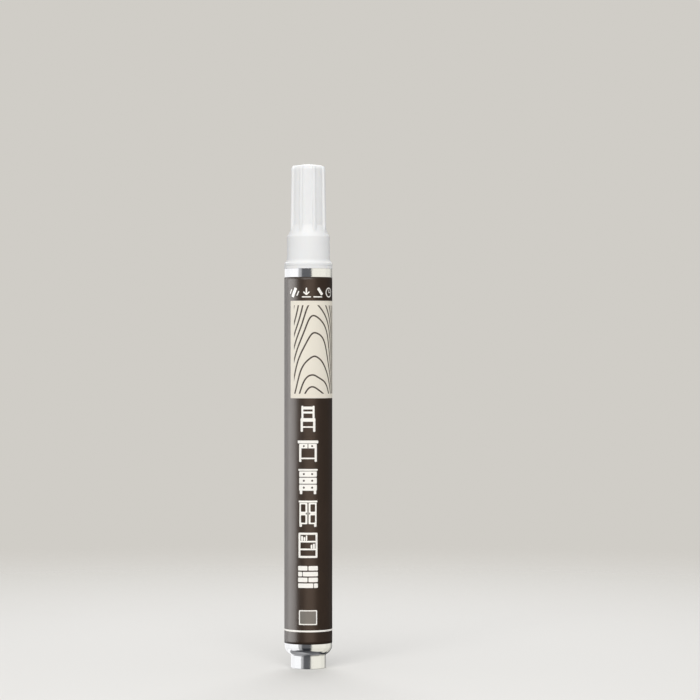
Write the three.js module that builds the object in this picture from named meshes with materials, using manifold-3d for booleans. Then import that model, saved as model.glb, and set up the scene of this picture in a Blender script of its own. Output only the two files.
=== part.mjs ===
// Furniture touch-up pen: a valve-feed paint marker in an aluminium barrel, on its tail with its cap on.
// Millimetres, +Z up along the pen, origin at the centre of the flat tail, front of the label towards -Y.

import * as THREE from "three";
import { mergeVertices } from "three/addons/utils/BufferGeometryUtils.js";
import Module from "manifold-3d";

const wasm = await Module();
wasm.setup();

// Barrel: one impact-extruded aluminium cup with a rounded shoulder and a tail that the cap also fits.
const barrelLength = 124.8;
const barrelDiameter = 14.8;
const barrelWall = 0.5;
const shoulderHeight = 2.8;
const tailDiameter = 10.9;
const tailHeight = 4.2;
const tailWall = 0.9;
const tailFloor = 1.2;
const tailEdgeRadius = 0.25;
const tailFillet = 0.35;
const tailDishDiameter = 6;
const tailDishDepth = 0.3;

// Label: a printed film wrapped round the barrel, with its two edges a little apart at the back.
const labelThickness = 0.08;
const labelGlue = 0.02;
const labelAboveShoulder = 0.9;
const labelBelowRim = 2.7;

// Nose holder: the moulding that plugs the barrel's mouth, carries the nib and takes the cap.
const flangeOverhang = 0.1;
const flangeThickness = 0.9;
const plugLength = 9;
const plugWall = 1.1;
const plugClearance = 0.04;
const plugBeadHeight = 0.16;
const plugBeadWidth = 1.2;
const plugBeadCount = 2;
const plugLeadIn = 0.4;
const capLandHeight = 8.2;
const capLandBeadHeight = 0.15;
const capLandBeadWidth = 0.9;
const noseConeHeight = 2.6;
const sealLandDiameter = 7;
const sealLandHeight = 5.6;
const noseTaperHeight = 4.6;
const noseTipDiameter = 6;
const noseBore = 4.8;
const gripRibCount = 6;
const gripRibWidth = 0.7;
const gripRibLength = 14;
const gripRibSetback = 0.3;
const valveTubeDiameter = 7.6;

// Nib: a pressed fibre rod with a bullet point, free to slide inside the grip ribs.
const nibDiameter = 4;
const nibPointHeight = 3.4;
const nibShow = 3.8;
const nibChamfer = 0.3;
const nibClearance = 0.08;
const nibReserve = 1.2;

// Valve: pressing the nib pushes the stem off its seat against the spring.
const valveDepth = 6.5;
const valveTravel = 2;
const seatThickness = 1.5;
const seatBore = 3.6;
const seatChamfer = 0.75;
const closedGap = 0.1;
const cageWall = 0.9;
const cageChamberDiameter = 6.6;
const cageFloor = 1.2;
const cageSnapHeight = 0.25;
const cageSnapWidth = 0.8;
const cageWindowWidth = 2.6;
const cageWindowHeight = 7;
const stemPinDiameter = 1.9;
const stemPinChamfer = 0.3;
const stemFlangeClearance = 0.4;
const stemFlangeThickness = 1;
const stemConeTopDiameter = 3;
const stemArmWidth = 0.9;
const springLength = 11.3;
const springWire = 0.5;
const springDiameter = 4.4;
const springTurns = 8;

// Mixing ball: a loose steel ball that stirs the paint when the pen is shaken.
const ballDiameter = 6;

// Cap: a crowned top, a ribbed upper stage, a sloping shoulder, a plain lower stage and a flared rim.
const capHeight = 31.75;
const capTopThickness = 1.3;
const capTopRadius = 1;
const capTopCrown = 0.5;
const capRimHeight = 1.2;
const capFlareHeight = 0.85;
const capLowerHeight = 7.1;
const capLowerDiameter = 13.44;
const capLowerDraft = 0.05;
const capShoulderHeight = 3.6;
const capShoulderWaist = 11.5;
const capShoulderWaistHeight = 1.3;
const capPanelDiameter = 10.4;
const capPanelDraft = 0.15;
const capBore = 11;
const capBoreSpare = 0.2;
const capRestGap = 0.05;
const capRibCount = 8;
const capRibTurn = THREE.MathUtils.degToRad(21);
const capRibHeight = 0.65;
const capRibTopHeight = 0.5;
const capRibFoot = 0.9;
const capRibWidth = 1;
const capRibRounding = 0.25;
const capRibTopRadius = 1;

// Inner cap: a thin soft cup inside the cap whose mouth seals round the nose.
const innerCapWall = 0.4;
const innerCapTop = 0.5;
const innerCapLip = 0.6;

// Clearances shared by pieces that seat in or on each other.
const slipFit = 0.1;
const looseFit = 0.25;
const seatGap = 0.05;

// Facets round the axis on the large and the small pieces, and steps on a quarter round.
const facets = 40;
const smallFacets = 24;
const arcSteps = 3;
const springSteps = 10;
const springSides = 6;

// Radii and levels that several pieces share.
const barrelRadius = barrelDiameter / 2;
const barrelBore = barrelRadius - barrelWall;
const tailRadius = tailDiameter / 2;
const shoulderTop = tailHeight + shoulderHeight;
const flangeRadius = barrelRadius + flangeOverhang;
const flangeTop = barrelLength + flangeThickness;
const capLandRadius = capBore / 2 - looseFit;
const capLandTop = flangeTop + capLandHeight;
const sealLandBottom = capLandTop + noseConeHeight;
const sealLandRadius = sealLandDiameter / 2;
const noseTop = sealLandBottom + sealLandHeight + noseTaperHeight;
const valveDeck = barrelLength - valveDepth;
const valveTubeRadius = valveTubeDiameter / 2;
const plugPocketTop = barrelLength - flangeThickness;
const seatTop = valveDeck - seatGap;
const seatBottom = seatTop - seatThickness;
const cageLedge = seatBottom - seatGap;
const cageBore = valveTubeRadius + slipFit;
const cageSleeveTop = plugPocketTop - looseFit;
const cageSnapLevel = (valveDeck + cageSleeveTop) / 2;
const stemFlangeRadius = cageChamberDiameter / 2 - stemFlangeClearance;
const stemFlangeTop = seatBottom + seatBore / 2 + seatChamfer - stemFlangeRadius - closedGap * Math.SQRT2;
const stemFlangeBottom = stemFlangeTop - stemFlangeThickness;
const cageFloorTop = stemFlangeBottom - springLength;
const cageFloorBottom = cageFloorTop - cageFloor;
const nibTop = noseTop + nibShow;
const nibBottom = valveDeck + valveTravel + nibReserve;
const capBottom = flangeTop + capRestGap;
const capTop = capBottom + capHeight;
const capLowerBottom = capBottom + capRimHeight + capFlareHeight;
const capLowerTop = capLowerBottom + capLowerHeight;
const capPanelBottom = capLowerTop + capShoulderHeight;
const capPanelRadius = capPanelDiameter / 2;
const capPanelTopRadius = capPanelRadius - capPanelDraft;
const innerCapBore = sealLandRadius + seatGap;
const innerCapRadius = innerCapBore + innerCapWall;
const capUpperBore = innerCapRadius + seatGap;
const capCeiling = capTop - capTopThickness;

// A solid of revolution about +Z from a path of radius and height, up the outside and down the inside.
function revolve(profile, count) {
  return new THREE.LatheGeometry(profile.getPoints(arcSteps), count).rotateX(Math.PI / 2);
}

// A raised or sunken band on a wall at one radius, drawn in the direction in which the path is running.
function band(profile, radius, level, width, height, direction) {
  const half = (direction * width) / 2;
  profile.lineTo(radius, level - half);
  profile.lineTo(radius + height, level - half / 2);
  profile.lineTo(radius + height, level + half / 2);
  profile.lineTo(radius, level + half);
}

// A three.js geometry as a manifold solid, with its shared vertices merged.
function solidOf(geometry) {
  const bare = geometry.clone();
  bare.deleteAttribute("normal");
  bare.deleteAttribute("uv");
  const merged = mergeVertices(bare);
  const mesh = new wasm.Mesh({
    numProp: 3,
    vertProperties: merged.attributes.position.array,
    triVerts: new Uint32Array(merged.index.array),
  });
  return new wasm.Manifold(mesh);
}

// A manifold solid as a three.js geometry.
function geometryOf(solid) {
  const { vertProperties, triVerts } = solid.getMesh();
  const geometry = new THREE.BufferGeometry();
  geometry.setAttribute("position", new THREE.BufferAttribute(vertProperties, 3));
  geometry.setIndex(new THREE.BufferAttribute(triVerts, 1));
  geometry.computeVertexNormals();
  return geometry;
}

// The same geometry turned into several places round the axis.
function pattern(geometry, count, firstTurn = 0) {
  const turns = Array.from({ length: count }, (_, i) => firstTurn + (i * 2 * Math.PI) / count);
  return turns.map((turn) => geometry.clone().rotateZ(turn));
}

// A flat outline of radius and height, given a thickness across the +X radius that it stands on.
function fin(outline, thickness, rounding = 0) {
  const options = {
    depth: thickness - 2 * rounding,
    bevelEnabled: rounding > 0,
    bevelSize: rounding,
    bevelOffset: -rounding,
    bevelThickness: rounding,
    bevelSegments: 2,
    curveSegments: arcSteps,
  };
  const geometry = new THREE.ExtrudeGeometry(outline, options);
  return geometry.translate(0, 0, rounding - thickness / 2).rotateX(Math.PI / 2);
}

// Barrel: the shoulder is one arc that leaves the wall tangentially and runs into the tail by a small fillet.
function barrelGeometry() {
  const drop = barrelRadius - tailRadius;
  const sweep = 2 * Math.atan(drop / shoulderHeight);
  const shoulderRadius = shoulderHeight / Math.sin(sweep);
  const centre = barrelRadius - shoulderRadius;
  const arcStart = tailFillet / shoulderRadius - sweep;
  const filletX = centre + shoulderRadius * Math.cos(arcStart);
  const filletY = shoulderTop + shoulderRadius * Math.sin(arcStart);
  const innerRadius = shoulderRadius - barrelWall;
  const pocketRadius = tailRadius - tailWall;
  const pocketTop = shoulderTop - innerRadius * Math.sin(sweep);
  const profile = new THREE.Path();
  profile.moveTo(0, tailDishDepth);
  profile.lineTo(tailDishDiameter / 2 - tailDishDepth, tailDishDepth);
  profile.lineTo(tailDishDiameter / 2, 0);
  profile.absarc(tailRadius - tailEdgeRadius, tailEdgeRadius, tailEdgeRadius, -Math.PI / 2, 0, false);
  profile.lineTo(tailRadius, tailHeight - tailFillet);
  profile.quadraticCurveTo(tailRadius, tailHeight, filletX, filletY);
  profile.absarc(centre, shoulderTop, shoulderRadius, arcStart, 0, false);
  profile.lineTo(barrelRadius, barrelLength);
  profile.lineTo(barrelBore, barrelLength);
  profile.absarc(centre, shoulderTop, innerRadius, 0, -sweep, true);
  profile.lineTo(pocketRadius, pocketTop - seatGap);
  profile.lineTo(pocketRadius, tailFloor);
  profile.lineTo(0, tailFloor);
  return revolve(profile, facets);
}

// Label: every facet of the barrel but the one at the back, so that the film's two edges stay apart.
function labelGeometry() {
  const inner = barrelRadius + labelGlue;
  const outer = inner + labelThickness;
  const step = (2 * Math.PI) / facets;
  const seam = Math.PI / 2;
  const at = (radius, i) => new THREE.Vector2(radius, 0).rotateAround(new THREE.Vector2(), seam + i * step);
  const turns = Array.from({ length: facets }, (_, i) => i + 1);
  const outside = turns.map((i) => at(outer, i));
  const inside = turns.map((i) => at(inner, i)).reverse();
  const bottom = shoulderTop + labelAboveShoulder;
  const depth = barrelLength - labelBelowRim - bottom;
  const outline = new THREE.Shape([...outside, ...inside]);
  const film = new THREE.ExtrudeGeometry(outline, { depth, bevelEnabled: false });
  return film.translate(0, 0, bottom);
}

// Nose holder: a plug with seal beads, the flange, the cap's land, the seal land and the tapered nose.
function noseHolderGeometry() {
  const skirtBottom = barrelLength - plugLength;
  const beadRadius = barrelBore - plugClearance;
  const skirtRadius = beadRadius - plugBeadHeight;
  const skirtBore = beadRadius - plugWall;
  const beadStep = plugLength / (plugBeadCount + 1);
  const tipRadius = noseTipDiameter / 2;
  const tipRounding = (tipRadius - noseBore / 2) / 2;
  const profile = new THREE.Path();
  profile.moveTo(noseBore / 2, valveDeck);
  profile.lineTo(valveTubeRadius, valveDeck);
  band(profile, valveTubeRadius, cageSnapLevel, cageSnapWidth, cageSnapHeight, 1);
  profile.lineTo(valveTubeRadius, plugPocketTop);
  profile.lineTo(skirtBore, plugPocketTop);
  profile.lineTo(skirtBore, skirtBottom);
  profile.lineTo(skirtRadius - plugLeadIn, skirtBottom);
  profile.lineTo(skirtRadius, skirtBottom + plugLeadIn);
  for (let i = 1; i <= plugBeadCount; i++) {
    band(profile, skirtRadius, skirtBottom + i * beadStep, plugBeadWidth, plugBeadHeight, 1);
  }
  profile.lineTo(skirtRadius, barrelLength);
  profile.lineTo(flangeRadius, barrelLength);
  profile.lineTo(flangeRadius, flangeTop);
  profile.lineTo(capLandRadius, flangeTop);
  band(profile, capLandRadius, flangeTop + capLandHeight / 2, capLandBeadWidth, capLandBeadHeight, 1);
  profile.lineTo(capLandRadius, capLandTop);
  profile.lineTo(sealLandRadius, sealLandBottom);
  profile.lineTo(sealLandRadius, sealLandBottom + sealLandHeight);
  profile.lineTo(tipRadius, noseTop - tipRounding);
  profile.absarc(tipRadius - tipRounding, noseTop - tipRounding, tipRounding, 0, Math.PI / 2, false);
  profile.lineTo(noseBore / 2, noseTop);
  profile.lineTo(noseBore / 2, valveDeck);
  return revolve(profile, facets);
}

// Grip ribs inside the nose: they hold the nib on its axis and let paint run down between them.
function gripRibGeometry() {
  const inner = nibDiameter / 2 + nibClearance;
  const root = (noseBore / 2 + noseTipDiameter / 2) / 2;
  const top = noseTop - gripRibSetback;
  const outline = new THREE.Shape();
  outline.moveTo(inner, top - gripRibLength);
  outline.lineTo(root, top - gripRibLength);
  outline.lineTo(root, top);
  outline.lineTo(inner, top);
  return fin(outline, gripRibWidth);
}

function ribbedNoseGeometry() {
  const ribs = pattern(gripRibGeometry(), gripRibCount).map(solidOf);
  return geometryOf(ribs.reduce((nose, rib) => nose.add(rib), solidOf(noseHolderGeometry())));
}

// Nib: a chamfered tail, a straight rod and a half-ellipse bullet point.
function nibGeometry() {
  const radius = nibDiameter / 2;
  const profile = new THREE.Path();
  profile.moveTo(0, nibBottom);
  profile.lineTo(radius - nibChamfer, nibBottom);
  profile.lineTo(radius, nibBottom + nibChamfer);
  profile.absellipse(0, nibTop - nibPointHeight, radius, nibPointHeight, 0, Math.PI / 2, false, 0);
  return revolve(profile, smallFacets);
}

// Valve seat: an elastic washer clamped under the valve tube, chamfered for the stem's cone.
function valveSeatGeometry() {
  const bore = seatBore / 2;
  const profile = new THREE.Path();
  profile.moveTo(bore + seatChamfer, seatBottom);
  profile.lineTo(valveTubeRadius, seatBottom);
  profile.lineTo(valveTubeRadius, seatTop);
  profile.lineTo(bore, seatTop);
  profile.lineTo(bore, seatBottom + seatChamfer);
  profile.lineTo(bore + seatChamfer, seatBottom);
  return revolve(profile, smallFacets);
}

// Valve cage: a sleeve that snaps over the valve tube, a ledge under the seat and a chamber for the spring.
function valveCageGeometry() {
  const chamberRadius = cageChamberDiameter / 2;
  const outerRadius = chamberRadius + cageWall;
  const sleeveRadius = cageBore + cageWall;
  const pinHole = stemPinDiameter / 2 + slipFit;
  const snapWidth = cageSnapWidth + 2 * slipFit;
  const profile = new THREE.Path();
  profile.moveTo(pinHole, cageFloorBottom);
  profile.lineTo(outerRadius, cageFloorBottom);
  profile.lineTo(outerRadius, cageLedge - cageWall);
  profile.lineTo(sleeveRadius, cageLedge);
  profile.lineTo(sleeveRadius, cageSleeveTop);
  profile.lineTo(cageBore, cageSleeveTop);
  band(profile, cageBore, cageSnapLevel, snapWidth, cageSnapHeight, -1);
  profile.lineTo(cageBore, cageLedge);
  profile.lineTo(chamberRadius, cageLedge);
  profile.lineTo(chamberRadius, cageFloorTop);
  profile.lineTo(pinHole, cageFloorTop);
  profile.lineTo(pinHole, cageFloorBottom);
  return revolve(profile, smallFacets);
}

// Paint inlets: two slots right through the cage wall, square to each other, make its four windows.
function windowedCageGeometry() {
  const across = cageChamberDiameter + 4 * cageWall;
  const level = (cageFloorTop + cageLedge) / 2;
  const slot = new THREE.BoxGeometry(across, cageWindowWidth, cageWindowHeight).translate(0, 0, level);
  const crossing = slot.clone().rotateZ(Math.PI / 2);
  return geometryOf(solidOf(valveCageGeometry()).subtract(solidOf(slot)).subtract(solidOf(crossing)));
}

// Valve stem: a guide pin in the cage floor, the spring's flange, a 45 degree cone and a cross-shaped rod.
function valveStemGeometry() {
  const pinRadius = stemPinDiameter / 2;
  const coneTop = stemConeTopDiameter / 2;
  const coneTopLevel = stemFlangeTop + stemFlangeRadius - coneTop;
  const rodTop = nibBottom - seatGap;
  const pinBottom = cageFloorBottom + cageFloor / 2;
  const profile = new THREE.Path();
  profile.moveTo(0, pinBottom);
  profile.lineTo(pinRadius - stemPinChamfer, pinBottom);
  profile.lineTo(pinRadius, pinBottom + stemPinChamfer);
  profile.lineTo(pinRadius, stemFlangeBottom);
  profile.lineTo(stemFlangeRadius, stemFlangeBottom);
  profile.lineTo(stemFlangeRadius, stemFlangeTop);
  profile.lineTo(coneTop, coneTopLevel);
  profile.lineTo(0, coneTopLevel);
  const armSpan = 2 * Math.sqrt((seatBore / 2 - slipFit) ** 2 - (stemArmWidth / 2) ** 2);
  const depth = rodTop - stemFlangeTop;
  const arm = new THREE.BoxGeometry(armSpan, stemArmWidth, depth).translate(0, 0, stemFlangeTop + depth / 2);
  const crossing = arm.clone().rotateZ(Math.PI / 2);
  return geometryOf(solidOf(revolve(profile, smallFacets)).add(solidOf(arm)).add(solidOf(crossing)));
}

// Spring centreline: a helix whose first and last turns lie closer together than the working turns.
class SpringCurve extends THREE.Curve {
  constructor() {
    super();
    this.bottom = cageFloorTop + seatGap + springWire / 2;
    this.rise = stemFlangeBottom - seatGap - springWire / 2 - this.bottom;
    this.endRise = 2 * springWire;
  }

  getPoint(t, target = new THREE.Vector3()) {
    const turn = t * springTurns;
    const workingRise = (this.rise - 2 * this.endRise) / (springTurns - 2);
    const first = Math.min(turn, 1) * this.endRise;
    const working = THREE.MathUtils.clamp(turn - 1, 0, springTurns - 2) * workingRise;
    const last = Math.max(turn - springTurns + 1, 0) * this.endRise;
    const angle = turn * 2 * Math.PI;
    const radius = springDiameter / 2;
    const height = this.bottom + first + working + last;
    return target.set(radius * Math.cos(angle), radius * Math.sin(angle), height);
  }
}

// The least gap between turns of the spring, measured on points along its centreline.
function springGap(points) {
  let least = Infinity;
  for (let i = 0; i < points.length; i++) {
    for (let j = i + springSteps / 2; j < points.length; j++) {
      least = Math.min(least, points[i].distanceTo(points[j]) - springWire);
    }
  }
  return least;
}

// Valve spring: one unbroken round wire along the helix.
function valveSpringGeometry() {
  const curve = new SpringCurve();
  const steps = Math.round(springTurns * springSteps);
  console.log("least gap in the valve spring: " + springGap(curve.getPoints(steps)).toFixed(2) + " mm");
  const wire = new THREE.Shape();
  wire.absarc(0, 0, springWire / 2, 0, 2 * Math.PI, false);
  return new THREE.ExtrudeGeometry(wire, { steps, extrudePath: curve, curveSegments: springSides / 2 });
}

// Mixing ball: it rests in the tail pocket while the pen stands upright.
function mixingBallGeometry() {
  const ball = new THREE.SphereGeometry(ballDiameter / 2, smallFacets, smallFacets / 2).rotateX(Math.PI / 2);
  return ball.translate(0, 0, tailFloor + seatGap + ballDiameter / 2);
}

// Cap body: the turned outline without its ribs, and the stepped bore inside.
function capBodyGeometry() {
  const rim = flangeRadius;
  const lower = capLowerDiameter / 2;
  const lowerTop = lower - capLowerDraft;
  const waist = capShoulderWaist / 2;
  const waistLevel = capLowerTop + capShoulderWaistHeight;
  const crownEdge = capPanelTopRadius - capTopRadius;
  const roundTop = capTop - capTopCrown - capTopRadius;
  const bore = capBore / 2;
  const boreTop = capLandTop + capBoreSpare;
  const profile = new THREE.Path();
  profile.moveTo(bore, capBottom);
  profile.lineTo(rim, capBottom);
  profile.lineTo(rim, capBottom + capRimHeight);
  profile.quadraticCurveTo(lower, capBottom + capRimHeight, lower, capLowerBottom);
  profile.lineTo(lowerTop, capLowerTop);
  profile.quadraticCurveTo(waist, waistLevel, capPanelRadius, capPanelBottom);
  profile.lineTo(capPanelTopRadius, roundTop);
  profile.absarc(crownEdge, roundTop, capTopRadius, 0, Math.PI / 2, false);
  profile.quadraticCurveTo(crownEdge / 2, capTop, 0, capTop);
  profile.lineTo(0, capCeiling);
  profile.lineTo(capUpperBore, capCeiling);
  profile.lineTo(capUpperBore, boreTop + noseConeHeight);
  profile.lineTo(bore, boreTop);
  profile.lineTo(bore, capBottom);
  return revolve(profile, facets);
}

// Cap rib: its crest leans in with the cap's draft, its root lies in the wall and its foot on the shoulder.
function capRibGeometry() {
  const root = capUpperBore + (capPanelTopRadius - capUpperBore) / 4;
  const foot = capLowerTop + capRibFoot;
  const top = capTop - capTopCrown - seatGap;
  const crest = capPanelRadius + capRibHeight;
  const crestTop = capPanelTopRadius + capRibTopHeight;
  const outline = new THREE.Shape();
  outline.moveTo(root, foot);
  outline.lineTo(crest, foot);
  outline.lineTo(crestTop, top - capRibTopRadius);
  outline.absarc(crestTop - capRibTopRadius, top - capRibTopRadius, capRibTopRadius, 0, Math.PI / 2, false);
  outline.lineTo(root, top);
  return fin(outline, capRibWidth, capRibRounding);
}

function capShellGeometry() {
  const front = -Math.PI / 2;
  const ribs = pattern(capRibGeometry(), capRibCount, front + capRibTurn).map(solidOf);
  return geometryOf(ribs.reduce((cap, rib) => cap.add(rib), solidOf(capBodyGeometry())));
}

// Inner cap: a cup pressed up into the cap's bore, open below, with a lead-in lip round the nose.
function innerCapGeometry() {
  const lip = innerCapRadius - innerCapWall / 2;
  const top = capCeiling - seatGap;
  const bottom = sealLandBottom + innerCapLip;
  const profile = new THREE.Path();
  profile.moveTo(lip, bottom);
  profile.lineTo(innerCapRadius, bottom);
  profile.lineTo(innerCapRadius, top);
  profile.lineTo(0, top);
  profile.lineTo(0, top - innerCapTop);
  profile.lineTo(innerCapBore, top - innerCapTop);
  profile.lineTo(innerCapBore, bottom + innerCapLip);
  profile.lineTo(lip, bottom);
  return revolve(profile, smallFacets);
}

function material(color, roughness, metalness) {
  return new THREE.MeshStandardMaterial({ color, roughness, metalness });
}

const aluminium = material(0xc9cacb, 0.18, 1);
const printedFilm = material(0x3d332c, 0.35, 0);
const whitePlastic = material(0xeeeeee, 0.4, 0);
const naturalPlastic = material(0xe4e2da, 0.5, 0);
const pressedFibre = material(0xf2efe6, 0.95, 0);
const blackRubber = material(0x1c1c1d, 0.7, 0);
const springSteel = material(0x9a9c9f, 0.3, 1);
const ballSteel = material(0xb9bbbe, 0.12, 1);

function piece(name, geometry, finish) {
  const mesh = new THREE.Mesh(geometry, finish);
  mesh.name = name;
  return mesh;
}

const penBody = new THREE.Group().add(
  piece("barrel", barrelGeometry(), aluminium),
  piece("film_label", labelGeometry(), printedFilm),
  piece("nose_holder", ribbedNoseGeometry(), whitePlastic),
  piece("valve_seat", valveSeatGeometry(), blackRubber),
  piece("valve_cage", windowedCageGeometry(), naturalPlastic),
  piece("valve_spring", valveSpringGeometry(), springSteel),
);
const nibAndStem = new THREE.Group().add(
  piece("nib", nibGeometry(), pressedFibre),
  piece("valve_stem", valveStemGeometry(), naturalPlastic),
);
const looseBall = new THREE.Group().add(piece("mixing_ball", mixingBallGeometry(), ballSteel));
const cap = new THREE.Group().add(
  piece("cap_shell", capShellGeometry(), whitePlastic),
  piece("inner_cap", innerCapGeometry(), naturalPlastic),
);

const pen = new THREE.Group().add(penBody, nibAndStem, looseBall, cap);

export default pen;
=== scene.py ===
# %% [markdown]
# # Dressing a furniture touch-up pen
# The pen is a valve-feed marker: an aluminium barrel with a printed film wrapped round it, a white nose
# with a fibre nib, and a ribbed white cap. It stands on its tail, +Z runs up the pen, and the front of its
# label faces -Y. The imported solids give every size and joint. This lesson covers them with smooth surfaces
# and real finishes.

import bmesh
import bpy
import numpy as np
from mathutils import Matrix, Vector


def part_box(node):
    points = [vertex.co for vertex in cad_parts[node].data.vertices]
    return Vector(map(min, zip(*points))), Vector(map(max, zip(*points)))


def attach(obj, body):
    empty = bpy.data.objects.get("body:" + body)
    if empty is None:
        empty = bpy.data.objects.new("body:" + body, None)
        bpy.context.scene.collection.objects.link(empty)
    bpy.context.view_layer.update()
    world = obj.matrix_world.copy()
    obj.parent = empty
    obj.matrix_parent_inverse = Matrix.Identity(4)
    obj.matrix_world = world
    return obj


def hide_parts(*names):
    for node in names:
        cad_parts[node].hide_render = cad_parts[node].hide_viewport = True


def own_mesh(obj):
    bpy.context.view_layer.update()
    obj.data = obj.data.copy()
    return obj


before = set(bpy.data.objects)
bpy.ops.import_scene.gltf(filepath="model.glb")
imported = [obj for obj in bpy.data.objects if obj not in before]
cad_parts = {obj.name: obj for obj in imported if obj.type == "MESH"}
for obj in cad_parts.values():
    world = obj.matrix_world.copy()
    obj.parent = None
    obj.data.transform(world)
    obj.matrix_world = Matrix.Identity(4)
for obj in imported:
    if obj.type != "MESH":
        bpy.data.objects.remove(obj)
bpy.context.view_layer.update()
MM = 0.001
print("solids:", sorted(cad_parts))

# %% [markdown]
# ## Tools for turned surfaces
# Nearly every piece of a pen is turned or moulded round one axis, so its surface is a profile of radius and
# height carried round a circle. A Screw modifier could do that, but with numpy the grid of points is at
# hand afterwards: ribs can push it outwards, and its angle and height are ready for a print. Straight runs
# are cut into short steps, so that smooth shading stays flat on them.

# %% A profile with rounded corners
CORNER_STEPS = 7
LEAST_LENGTH = 1e-9
LEAST_STEP = 1e-6
LEAST_SPACING = 0.3


def unit(runs):
    """Runs of radius and height, each divided by its own length."""
    return runs / np.maximum(np.linalg.norm(runs, axis=1, keepdims=True), LEAST_LENGTH)


def rounded_profile(corners, longest=1.0):
    """A line of (radius, height) in metres through corners given as (radius, height, reach) in millimetres.

    Each corner is a parabola that starts `reach` before the corner P, at A, and ends `reach` after it, at B:
    (1-t)^2 A + 2 t (1-t) P + t^2 B. Straight runs are then cut into steps of about `longest`.
    """
    corners = np.array(corners, float)
    points, reach = corners[:, :2], corners[:, 2:]
    before = np.roll(points, 1, axis=0) - points
    after = np.roll(points, -1, axis=0) - points
    before[0] = after[-1] = 0
    start, end = points + unit(before) * reach, points + unit(after) * reach
    t = np.linspace(0, 1, CORNER_STEPS)[:, None, None]
    curve = (1 - t) ** 2 * start + 2 * t * (1 - t) * points + t ** 2 * end
    line = curve.transpose(1, 0, 2).reshape(-1, 2)
    step = np.linalg.norm(np.diff(line, axis=0), axis=1)
    line = line[np.concatenate([[True], step > LEAST_STEP])]
    step = np.linalg.norm(np.diff(line, axis=0), axis=1)
    along = np.concatenate([[0], np.cumsum(step)])
    extra = np.arange(longest, along[-1], longest)
    nearest = np.abs(extra[:, None] - along[None, :]).min(axis=1)
    stations = np.sort(np.concatenate([along, extra[nearest > LEAST_SPACING * longest]]))
    return np.stack([np.interp(stations, along, line[:, k]) for k in (0, 1)], axis=1) * MM


def unrounded(radius, height):
    """Radii and heights as corners that stay as they are."""
    return [(r, z, 0) for r, z in zip(radius, height)]


def closed(corners):
    """The corners of a ring that doesn't reach the axis, ending where they start."""
    return corners + corners[:1]


def extent(box):
    """The bottom, top and radius of a round solid in millimetres, from the two corners of its box."""
    low, high = box
    return low.z / MM, high.z / MM, high.x / MM


# %% A profile carried round the axis
def full_turn(count):
    """A column of `count` angles all the way round."""
    return np.linspace(0, 2 * np.pi, count, endpoint=False)[:, None]


def place(angle, radius, height):
    """Angle a, radius r and height z as points (r sin a, -r cos a, z): angle 0 faces -Y, the front."""
    across, away, height = np.broadcast_arrays(radius * np.sin(angle), -radius * np.cos(angle), height)
    return np.stack([across, away, height], axis=-1)


def grid_faces(rows, columns, wrap_rows=False, wrap_columns=False):
    """One quad for each cell of a grid, with the last row or column joined to the first where it wraps."""
    row_cells, column_cells = rows - (not wrap_rows), columns - (not wrap_columns)
    i, j = np.meshgrid(np.arange(row_cells), np.arange(column_cells), indexing="ij")
    i, j = i.ravel(), j.ravel()
    here, beyond = i * columns, (i + 1) % rows * columns
    above = (j + 1) % columns
    return np.stack([here + j, beyond + j, beyond + above, here + above], axis=1)


# %% Arrays into a mesh
MERGE_DISTANCE = 1e-7


def mesh_piece(name, points, faces):
    """A smooth mesh object at the origin from arrays of points and quads, with coinciding points merged."""
    mesh = bpy.data.meshes.new(name)
    points = points.reshape(-1, 3)
    mesh.vertices.add(len(points))
    mesh.vertices.foreach_set("co", points.ravel().astype(np.float32))
    mesh.loops.add(faces.size)
    mesh.loops.foreach_set("vertex_index", faces.ravel().astype(np.int32))
    mesh.polygons.add(len(faces))
    mesh.polygons.foreach_set("loop_start", np.arange(0, faces.size, 4, dtype=np.int32))
    mesh.update(calc_edges=True)
    work = bmesh.new()
    work.from_mesh(mesh)
    bmesh.ops.remove_doubles(work, verts=work.verts, dist=MERGE_DISTANCE)
    work.to_mesh(mesh)
    work.free()
    mesh.shade_smooth()
    piece = bpy.data.objects.new(name, mesh)
    bpy.context.scene.collection.objects.link(piece)
    return piece


def ring_piece(name, points):
    """A piece from a grid of points by angle and profile step, joined all the way round."""
    return mesh_piece(name, points, grid_faces(*points.shape[:2], wrap_rows=True))


def turned_piece(name, corners, count, longest=1.0):
    """A profile of corners turned round the axis: points (r sin a, -r cos a, z) for `count` angles a."""
    radius, height = rounded_profile(corners, longest).T
    return ring_piece(name, place(full_turn(count), radius, height))


def dress(piece, body, node):
    """Lets a piece move with its body and stand for its solid, which it hides."""
    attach(piece, body)
    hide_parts(node)
    print(f"{piece.name}: {len(piece.data.polygons)} faces, replaces {node}, rides on {body}")
    return piece


# %% [markdown]
# ## The barrel
# The barrel is one cup of aluminium, punched from a slug: a straight wall, a rounded shoulder and a
# narrower tail that the cap fits while the pen is in use. The profile runs out along the base, up the
# outside, over the rim and down the inside. Only the short band under the cap and the tail stay bare of the
# label.

# %% Barrel
_, barrel_top, barrel_radius = extent(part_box("barrel"))
BARREL_WALL = 0.5
BARREL_RIM_ROUND = 0.06
BARREL_COUNT = 192
TAIL_RADIUS = 5.45
TAIL_HEIGHT = 4.2
TAIL_EDGE_ROUND = 0.22
TAIL_FILLET = 0.35
DISH_RADIUS = 3.0
DISH_DEPTH = 0.3
DISH_ROUND = 0.2
SHOULDER_HEIGHT = 2.8
SHOULDER_STEPS = 14
POCKET_RADIUS = 4.55
POCKET_FLOOR = 1.2
POCKET_FLOOR_ROUND = 0.5
POCKET_EDGE_ROUND = 0.2
POCKET_EDGE_DROP = 0.05


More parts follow.
